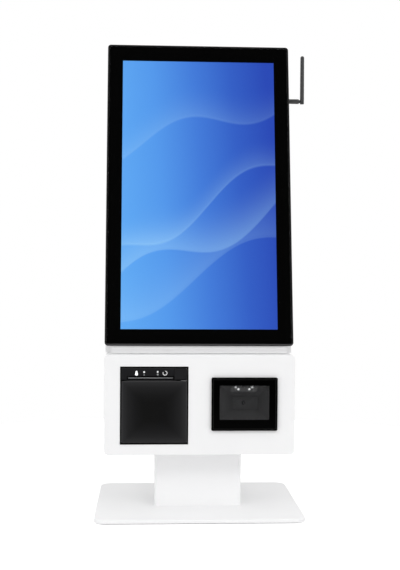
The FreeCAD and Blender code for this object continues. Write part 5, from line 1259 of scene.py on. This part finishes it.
def pan_head(centre, size):
    """Seen along y: height (1 - 0.4 s^4) at share s of the radius, less the recess where the
    smaller of |a| and |b| is under the arm's half width and the larger under its reach."""
    radius, height, shank, length = (v * MM for v in size)
    share = np.array([0, 0.1, 0.2, 0.3, 0.4, 0.5, 0.6, 0.75, 0.9, 1.0])[:, None]
    angle = np.linspace(0, math.tau, 49)
    a, b = share * radius * np.cos(angle), share * radius * np.sin(angle)
    narrow = np.minimum(abs(a), abs(b)) / radius
    reach = np.maximum(abs(a), abs(b)) / radius
    cross = np.clip((0.2 - narrow) / 0.1, 0, 1) * np.clip((0.6 - reach) / 0.12, 0, 1)
    top = height * (1 - 0.4 * share ** 4) - 0.55 * height * cross
    rows = [np.stack([a, top, b], -1)]
    for r, y in ((radius, 0.0), (shank, 0.0), (shank, -length), (0.0, -length)):
        rows.append(np.stack([r * np.cos(angle), y + 0 * angle, r * np.sin(angle)], -1)[None])
    return outward(np.concatenate(rows) + np.asarray(centre))


screw_low, screw_high = (np.array(v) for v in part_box("back_screws"))
head = BACK_SCREW[0] * MM
columns = (screw_low[0] + head, 0.0, screw_high[0] - head)
screws = [pan_head((x, PLATE_BACK, z), BACK_SCREW)
          for x in columns for z in (screw_low[2] + head, screw_high[2] - head)]
piece("back_panel_screws", screws, "kiosk", ZINC, ["back_screws"])
print("screws:", len(screws))

# %% [markdown]
# ## Inlet and sockets
# The mains inlet's blades are nickel plated, and the network and data sockets have thin metal
# shells with gold contacts. The CAD nodes have the openings but one finish each, so the metal
# is added as thin sheaths that stand a hair outside the plastic.

# %% Inlet blades, sockets and contacts
entry_low, entry_high = (np.array(v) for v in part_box("power_entry"))
socket_low, socket_high = (np.array(v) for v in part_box("data_sockets"))
SOCKET_Z = (entry_low[2] + entry_high[2]) / 2
SOCKET_BACK = socket_high[1]
DATA_X = (socket_low[0] + socket_high[0]) / 2
INLET_X = 111.0 * MM
BLADES = ((-7, -2), (0, 2), (7, -2))
# Left side, right side and height of each opening from the block's middle, in millimetres.
OPENINGS = ((-20.0, -8.2, 8.4), (-5.0, 8.0, 5.6), (10.0, 22.0, 5.6))
TONGUES = (-3.1, 11.6)
SHEATH = 0.03 * MM
BLADE_HALF = np.array([1.06, 2.06]) * MM
BLADE_SUNK, BLADE_LENGTH = 4.4 * MM, 12.0 * MM
FLANGE_SCREW = (2.5, 0.9, 1.2, 3.0)
FLANGE_SCREW_IN = 4.6 * MM
SHELL_WALL, SHELL_DEEP, SHELL_PROUD = 0.35 * MM, 11.7 * MM, 0.12 * MM


def inlet_blades():
    """Each blade is sheathed a hair outside the CAD blade, with eased tips."""
    tip = entry_high[1] - BLADE_SUNK
    return [about(INLET_X + dx * MM, SOCKET_Z + dz * MM, *BLADE_HALF, tip - BLADE_LENGTH, tip,
                  corner=0.3 * MM, edge=0.4 * MM) for dx, dz in BLADES]


def flange_screws():
    """A screw in each point of the inlet's six-sided flange."""
    return [pan_head((x, entry_high[1], SOCKET_Z), FLANGE_SCREW)
            for x in (entry_low[0] + FLANGE_SCREW_IN, entry_high[0] - FLANGE_SCREW_IN)]


def socket_shells():
    """A thin cup lines each opening and stands 0.12 mm proud of the block."""
    shells = []
    for low, high, height in OPENINGS:
        half = height / 2 * MM - SHEATH
        a = (DATA_X + low * MM + SHEATH, SOCKET_BACK - SHELL_DEEP, SOCKET_Z - half)
        b = (DATA_X + high * MM - SHEATH, SOCKET_BACK + SHELL_PROUD, SOCKET_Z + half)
        shells.append(cup(a, b, SHELL_WALL, 11.4 * MM, "y"))
    return shells


def socket_contacts():
    """Eight sprung wires slope down into the network socket, by 0.3 of their depth; each data
    socket's tongue has four strips on its underside."""
    first = (DATA_X - 18.4 * MM, SOCKET_BACK - 10.6 * MM, SOCKET_Z + 2.9 * MM)
    wires = row_of(8, first, (1.2 * MM, 0, 0), np.array([0.45, 8.0, 0.35]) * MM)
    for wire in wires:
        wire[..., 2] -= (wire[..., 1] - first[1]) * 0.3
    strips = []
    for tongue in TONGUES:
        first = (DATA_X + tongue * MM, SOCKET_BACK - 10 * MM, SOCKET_Z - 0.1 * MM)
        strips += row_of(4, first, (2.3 * MM, 0, 0), np.array([1.1, 6.6, 0.12]) * MM)
    return wires + strips


def back_piece(name, grids, finish, smooth=True):
    """A piece beside the CAD nodes at the back, which it doesn't replace."""
    piece(name, grids, "kiosk", finish, smooth=smooth)


back_piece("inlet_blades", inlet_blades() + flange_screws(), NICKEL)
back_piece("socket_shells", socket_shells(), NICKEL, smooth=False)
back_piece("socket_contacts", socket_contacts(), GOLD, smooth=False)
print("openings:", len(OPENINGS), "at height %.0f mm" % (SOCKET_Z / MM))

# %% [markdown]
# The rocker's two faces carry the usual printed bar and ring, for on and off. They could be
# painted by the material, but the rocker tilts, so they are films that ride on its body.

# %% Rocker marks
ROCKER_AT = np.array([85.0, 48.0]) * MM
ROCKER_TILT = math.radians(-7.0)
FACE_SLOPE = math.atan2(1.4, 7.5)
CREASE, FACE_MIDDLE = 4.0 * MM, 3.1 * MM
MARK_BACK, MARK_FRONT = -0.01 * MM, 0.05 * MM


def on_rocker(grid, side):
    """Places (across, proud, up) points on a rocker face: out along its slope from the crease
    4 mm above the pin, then turned with the rocker about its pin."""
    u, t, w = np.moveaxis(grid, -1, 0)
    u = u + FACE_MIDDLE
    p = side * (u * math.cos(FACE_SLOPE) - t * math.sin(FACE_SLOPE))
    q = CREASE + u * math.sin(FACE_SLOPE) + t * math.cos(FACE_SLOPE)
    x = ROCKER_AT[0] + p * math.cos(ROCKER_TILT) - q * math.sin(ROCKER_TILT)
    y = ROCKER_AT[1] + p * math.sin(ROCKER_TILT) + q * math.cos(ROCKER_TILT)
    return outward(np.stack([x, y, SOCKET_Z + w], -1))


bar = block((-0.4 * MM, MARK_BACK, -2.2 * MM), (0.4 * MM, MARK_FRONT, 2.2 * MM))
circle = ring_band((0, 0), 1.3 * MM, 2.0 * MM, 0, 359.9, MARK_BACK, MARK_FRONT)
piece("rocker_marks", [on_rocker(bar, -1), on_rocker(circle, 1)], "mains_rocker", MARK_PRINT,
      smooth=False)
print("the rocker rests tilted by %.0f degrees" % math.degrees(ROCKER_TILT))

# %% [markdown]
# ## The computer's board
# The board leans with the display, so its pieces are written in the display's frame and sent
# through lean() at the end. Places and sizes on it are in millimetres, as on a real board's
# drawing. Flat packages have bent legs on four sides; each leg is a plain small block, because
# a board shows hundreds of them.

# %% Forms on the board
BOARD_FACE = 36.3 * MM
BOARD_BACK = 34.7 * MM
BOARD_HALF = 85.0 * MM
BOARD_LOW, BOARD_HIGH = 90.0 * MM, 260.0 * MM
TRAY_MIDDLE = (BOARD_LOW + BOARD_HIGH) / 2 / MM


def in_display(grids):
    """Grids of (across, depth, height) points taken into the kiosk's frame."""
    return [outward(lean(*np.moveaxis(grid, -1, 0))) for grid in grids]


def on_board(x, h, size_x, size_h, tall, **form):
    """A block on the board's rear face, centred at x and h."""
    low = np.array([x - size_x / 2, BOARD_FACE / MM, h - size_h / 2]) * MM
    return block(low, low + np.array([size_x, tall, size_h]) * MM, up="y", **form)


def socket_on_board(x0, x1, h0, h1, tall, wall, deep, corner=0.0):
    """An open socket on the board's rear face, from x0 to x1 and from h0 to h1."""
    low = np.array([x0, BOARD_FACE / MM, h0]) * MM
    high = np.array([x1, BOARD_FACE / MM + tall, h1]) * MM
    return cup(low, high, wall * MM, deep * MM, "y", corner=corner * MM)


def flat_pack(x, h, size, legs):
    """A square chip 0.2 mm over the board, and the legs that stick out by a good millimetre on
    each of its four sides. Those on a side share its length less 1 mm at both ends."""
    body = on_board(x, h, size, size, 1.5, corner=0.6 * MM, edge=0.2 * MM)
    body[..., 1] += 0.2 * MM
    pitch = (size - 2.0) / (legs - 1)
    leg = pitch * 0.45
    steps = [-size / 2 + 1.0 + i * pitch for i in range(legs)]
    out = size / 2 + 0.5
    pins = [on_board(x + a, h + side * out, leg, 1.3, 0.5) for a in steps for side in (-1, 1)]
    pins += [on_board(x + side * out, h + a, 1.3, leg, 0.5) for a in steps for side in (-1, 1)]
    return body, pins


def capacitor(x, h, radius, tall):
    """An upright can: a beaded foot, a straight sleeve and a top let in by 0.4 mm."""
    r, t, dip = radius * MM, tall * MM, 0.4 * MM
    profile = [(0, 0), (r, 0), (r, 0.8 * MM), (r * 0.94, 1.2 * MM), (r, 1.7 * MM), (r, t - dip),
               (r * 0.94, t), (r * 0.8, t), (r * 0.76, t - dip), (0, t - dip)]
    return turned(profile, (x * MM, BOARD_FACE, h * MM), "y", 20)


def board_piece(name, grids, finish, replaces=(), smooth=False):
    """A piece written in the display's frame."""
    piece(name, in_display(grids), "kiosk", finish, replaces, smooth)


print("the board's middle is %.0f mm up the display" % TRAY_MIDDLE)

# %% [markdown]
# The pieces are grouped by finish, so the whole board is eight of them: laminate, port
# shells, black mouldings, legs with small parts, coils, capacitors, power plugs and screws.
# Coils and capacitors stand in rows over the processor, where a real board feeds it.

# %% Mainboard
# Ports: left side, right side and height. Packages: x, h, size and legs on a side. Small
# chips: x, h, width and height. All in millimetres.
PORTS = ((-70, -54, 13), (-50, -36, 16), (-32, -16, 14), (-10, 6, 11), (10, 26, 9))
MEMORY_SLOTS = (39, 50)
PACKAGES = ((66, 170, 14, 14), (66, 215, 18, 18), (-70, 140, 12, 12), (20, 236, 20, 20))
SMALL_CHIPS = ((-70, 165, 8, 5), (66, 150, 9, 5))
PHASE_START, PHASE_STEP = -65.5, 13
BOARD_SCREW = (3.0, 1.6, 1.4, 5.0)
SMALL_PARTS = (
    # columns, rows, first x and h, steps in x and h, width and height of a part
    (13, 2, -36, 126, 4.2, 5, 2.0, 1.2),
    (4, 3, 60, 190, 4, 4, 1.2, 2.0),
    (1, 12, -78, 176, 4, 4, 2.0, 1.2),
)


def port_shells():
    """Each port opens at the board's lower edge: left side, right side and height above it."""
    foot = BOARD_LOW + 18 * MM
    return [cup((a * MM, BOARD_FACE, BOARD_LOW), (b * MM, BOARD_FACE + tall * MM, foot),
                0.8 * MM, 14 * MM, "z", mouth=-1) for a, b, tall in PORTS]


def small_parts():
    """Resistors and the like stand in fields, each a grid of equal blocks 0.7 mm tall."""
    return [on_board(x + dx * i, h + dh * j, wide, high, 0.7)
            for columns, rows, x, h, dx, dh, wide, high in SMALL_PARTS
            for i in range(columns) for j in range(rows)]


def mainboard_pieces():
    """Lays the board and then everything that is soldered, plugged or screwed to it."""
    board = block((-BOARD_HALF, BOARD_BACK, BOARD_LOW), (BOARD_HALF, BOARD_FACE, BOARD_HIGH),
                  corner=3 * MM, up="y")
    board_piece("computer_board", [board], MASK_GREEN, replaces=["mainboard"])
    board_piece("port_shells", port_shells(), NICKEL, replaces=["mainboard"])
    slots = [socket_on_board(x - 3, x + 3, 135, 253, 7, 1.6, 5) for x in MEMORY_SLOTS]
    packs = [flat_pack(*package) for package in PACKAGES]
    chips = [body for body, pins in packs] + [on_board(*chip, 1.6) for chip in SMALL_CHIPS]
    board_piece("board_chips", slots + chips, CHIP_BLACK, replaces=["mainboard"])
    legs = [pin for body, pins in packs for pin in pins]
    board_piece("board_pins", legs + small_parts(), NICKEL)
    row = [PHASE_START + PHASE_STEP * i for i in range(5)]
    coils = [on_board(x, TRAY_MIDDLE + 54.5, 9, 9, 6, corner=1.5 * MM, edge=0.6 * MM)
             for x in row[:4]]
    board_piece("board_coils", coils, FERRITE, replaces=["mainboard"], smooth=True)
    cans = [capacitor(x, TRAY_MIDDLE + 68, 3.4, 9) for x in row]
    cans += [capacitor(74, 118 + 11 * i, 3.0, 8) for i in range(3)]
    board_piece("board_capacitors", cans, ALUMINIUM, smooth=True)
    plugs = [socket_on_board(-82, -72, 196, 248, 11, 1, 8, corner=0.6),
             socket_on_board(60, 80, 240, 250, 8, 1, 6)]
    board_piece("board_power_plugs", plugs, NYLON)
    heads = [pan_head((side * 79 * MM, BOARD_FACE, h * MM), BOARD_SCREW)
             for side in (-1, 1) for h in (96, 254)]
    board_piece("board_screws", heads, ZINC, smooth=True)


mainboard_pieces()
print("legs on the packages:", sum(4 * legs for x, h, size, legs in PACKAGES))

# %% [markdown]
# ## The power supply
# A folded zinc-plated case. The side that faces the service door is a perforated sheet. Holes
# painted on would look flat from the side, so each cell of the sheet is a square with a round
# hole, drawn as rows that go from the square's outline to the circle, through the sheet and
# back.

# %% Power supply
SHEET = 1.0 * MM
GRILLE_PITCH, GRILLE_COLUMNS, GRILLE_ROWS = 5.5 * MM, 15, 8
GRILLE_HOLE = 1.9 * MM
GRILLE_SUNK, GRILLE_THICKNESS = 0.2 * MM, 1.0 * MM
SUPPLY_SCREW = (2.2, 1.2, 1.0, 2.0)
SUPPLY_SCREW_IN = 4 * MM


def perforated(x0, z0, front, back):
    """Square cells with round holes. The loop of 16 points goes from square to circle by mixing
    the two outlines, then through the sheet, and back to the square behind."""
    angle = (np.arange(17) - 2) * math.tau / 16
    circle = np.column_stack([np.cos(angle), np.sin(angle)])
    square = circle / np.abs(circle).max(1, keepdims=True) * GRILLE_PITCH / 2
    circle = circle * GRILLE_HOLE
    outlines = np.stack([square, circle, circle, square, square])
    depths = np.array([front, front, back, back, front])[:, None]
    cells = []
    for i in range(GRILLE_COLUMNS):
        for j in range(GRILLE_ROWS):
            middle = np.array([x0 + (i + 0.5) * GRILLE_PITCH, z0 + (j + 0.5) * GRILLE_PITCH])
            grid = np.empty((5, 17, 3))
            grid[..., [0, 2]] = outlines + middle
            grid[..., 1] = depths
            cells.append(outward(grid))
    return cells


def supply_piece(name, grids, finish, replaces=("power_supply",), smooth=False):
    """A piece that stands for some of the CAD's solid power supply."""
    piece(name, grids, "kiosk", finish, replaces, smooth)


def power_supply_pieces():
    """A dark body, the case open to the rear, the grille with four strips round it, and four
    screws in its corners."""
    low, high = (np.array(v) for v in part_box("power_supply"))
    rear = high[1]
    front, back = rear - GRILLE_SUNK, rear - GRILLE_SUNK - GRILLE_THICKNESS
    (left, foot), (right, top) = (low + SHEET)[[0, 2]], (high - SHEET)[[0, 2]]
    dark = block((left, low[1] + SHEET, foot), (right, rear - 3 * MM, top))
    supply_piece("supply_inside", [dark], CHIP_BLACK)
    case = cup(low, high, SHEET, rear - low[1] - 4.0 * MM, "y", corner=1.5 * MM)
    supply_piece("supply_case", [case], ZINC, smooth=True)
    span_x, span_z = GRILLE_COLUMNS * GRILLE_PITCH, GRILLE_ROWS * GRILLE_PITCH
    x0, z0 = (low[0] + high[0] - span_x) / 2, (low[2] + high[2] - span_z) / 2
    x1, z1 = x0 + span_x, z0 + span_z
    strips = ((left, foot, right, z0), (left, z1, right, top), (left, z0, x0, z1),
              (x1, z0, right, z1))
    frame_strips = [block((xa, back, za), (xb, front, zb)) for xa, za, xb, zb in strips]
    supply_piece("supply_grille", perforated(x0, z0, front, back) + frame_strips, ZINC)
    heads = [pan_head((x, front, z), SUPPLY_SCREW)
             for x in (low[0] + SUPPLY_SCREW_IN, high[0] - SUPPLY_SCREW_IN)
             for z in (low[2] + SUPPLY_SCREW_IN, high[2] - SUPPLY_SCREW_IN)]
    supply_piece("supply_screws", heads, ZINC, replaces=(), smooth=True)


power_supply_pieces()
print("holes in the grille:", GRILLE_COLUMNS * GRILLE_ROWS)

# %% [markdown]
# ## The paper roll
# A roll of thermal paper is wound tight. Its turns could be wound as a spiral, but they touch,
# so it is a turned ring with slightly eased edges, and the material draws the turns.

# %% Paper roll
EASE = 0.7 * MM
CORE_GAP = 0.05 * MM


def paper_roll():
    """The profile runs up the left end, over an eased edge, along the outside and back down the
    right end. At angle a the edge lies ease (1 - sin a) in and ease (1 - cos a) along."""
    low, high = (np.array(v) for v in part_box("paper_roll"))
    core_low, core_high = (np.array(v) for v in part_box("paper_core"))
    outer = (high[2] - low[2]) / 2
    inner = (core_high[2] - core_low[2]) / 2 + CORE_GAP
    angle = np.linspace(0, math.pi / 2, 4)
    left = np.column_stack([outer - EASE * (1 - np.sin(angle)),
                            low[0] + EASE * (1 - np.cos(angle))])
    right = np.column_stack([left[::-1, 0], low[0] + high[0] - left[::-1, 1]])
    profile = [(inner, low[0]), *left, *right, (inner, high[0]), (inner, low[0])]
    centre = (0, (low[1] + high[1]) / 2, (low[2] + high[2]) / 2)
    return turned(profile, centre, "x", 120)


piece("wound_paper_roll", [paper_roll()], "paper", PAPER, ["paper_roll"])

# %% [markdown]
# ## The floor
# A plain pale disc. The photograph's floor runs into its white background without a line.
# More light would do that too, but it would wash out the kiosk, so the floor adds some white
# of its own wherever the camera looks at it, and keeps the kiosk's soft shadow.

# %% Floor
FLOOR_RADII = (0.0, 0.3, 0.6, 1.1)
FLOOR_STEPS = 73
FLOOR_DROP = 0.1 * MM
FLOOR_GLOW = 0.5


def floor_finish():
    """A matt floor, plus a glow that only the camera and rays through the glass see."""
    made, tree, shader = plain("pale_floor", "#F5F5F5", 0.9, Specular_IOR_Level=0.1)
    light = add(tree, "ShaderNodeLightPath")
    seen = add(tree, MATHS, light.outputs["Is Camera Ray"], light.outputs["Is Transmission Ray"],
               operation="MAXIMUM")
    glow = add(tree, MATHS, seen, FLOOR_GLOW, operation="MULTIPLY")
    white = add(tree, "ShaderNodeEmission", (1, 1, 1, 1), glow)
    both = add(tree, "ShaderNodeAddShader", shader, white)
    feed(tree.nodes["Material Output"], "Surface", both)
    return made


def make_floor():
    """A disc: at each radius r, a circle r cos a, r sin a, a hair under the table's plane."""
    angle = np.linspace(0, math.tau, FLOOR_STEPS)
    radius = np.array(FLOOR_RADII)[:, None]
    x, y = radius * np.cos(angle), radius * np.sin(angle)
    grid = np.stack([x, y, np.full_like(x, -FLOOR_DROP)], -1)
    mesh = bpy.data.meshes.new("floor")
    faces = quads_of(*grid.shape[:2])[:, ::-1]
    mesh.from_pydata(grid.reshape(-1, 3).tolist(), [], faces.tolist())
    mesh.materials.append(floor_finish())
    floor = bpy.data.objects.new("floor", mesh)
    bpy.context.collection.objects.link(floor)


make_floor()
print("the floor reaches %.1f m" % FLOOR_RADII[-1])

# %% [markdown]
# ## The room and its lamps
# An even white room gives most of the light, as a tent does in a studio. A pair of wide soft
# lamps in front and one above add a little shape. A picture of a real room could light the
# scene, but it would show in the glass. Here the part of the room that the glass mirrors is
# dark, as it is in front of a set in a studio, and the lamps are kept out of it.

# %% Room and lamps
ROOM_LIGHT = 0.79
DARK_FRONT, BRIGHT_BACK = 0.02, 0.8
DARK_UP_TO, BRIGHT_FROM = -0.72, -0.35
LAMP_TARGET = Vector((0, 0, 0.4))
LAMPS = (
    # name, place, width in metres, watts
    ("front_left", (-1.5, -1.9, 1.9), 1.4, 14.0),
    ("front_right", (1.5, -1.9, 1.9), 1.4, 14.0),
    ("above", (0.0, -0.4, 2.8), 1.8, 6.0),
)


def make_room():
    """White to the eye; an even glow as light; in reflections white at the back and sides and
    dark in front, with a soft step between, by the direction's own y."""
    world = bpy.data.worlds.new("room")
    bpy.context.scene.world = world
    world.use_nodes = True
    tree = world.node_tree
    light = add(tree, "ShaderNodeLightPath")
    way = add(tree, "ShaderNodeSeparateXYZ", add(tree, "ShaderNodeTexCoord").outputs["Generated"])
    step = add(tree, "ShaderNodeMapRange", way.outputs["Y"], DARK_UP_TO, BRIGHT_FROM, DARK_FRONT,
               BRIGHT_BACK, interpolation_type="SMOOTHSTEP")
    glossy = add(tree, MATHS, light.outputs["Is Glossy Ray"], light.outputs["Is Transmission Ray"],
                 operation="MAXIMUM")
    mirrored = add(tree, MATHS, step, glossy, operation="MULTIPLY")
    others = add(tree, MATHS, 1.0, glossy, operation="SUBTRACT")
    level = add(tree, MATHS, others, ROOM_LIGHT, mirrored, operation="MULTIPLY_ADD")
    final = add(tree, "ShaderNodeMix",
                inputs={"Factor": light.outputs["Is Camera Ray"], "A": level, "B": 1.0})
    back = tree.nodes["Background"]
    feed(back, "Color", (1, 1, 1, 1))
    feed(back, "Strength", final)


def make_lamp(name, where, size, watts):
    """A round area lamp that faces the kiosk's middle and shows in no reflection."""
    data = bpy.data.lights.new(name, "AREA")
    data.shape, data.size, data.energy = "DISK", size, watts
    lamp = bpy.data.objects.new(name, data)
    lamp.location = where
    lamp.rotation_mode = "QUATERNION"
    lamp.rotation_quaternion = (LAMP_TARGET - Vector(where)).to_track_quat("-Z", "Y")
    lamp.visible_glossy = False
    lamp.visible_transmission = False
    bpy.context.collection.objects.link(lamp)


make_room()
for lamp in LAMPS:
    make_lamp(*lamp)
bpy.context.scene.view_settings.view_transform = "Standard"
print("lamps:", len(bpy.data.lights))
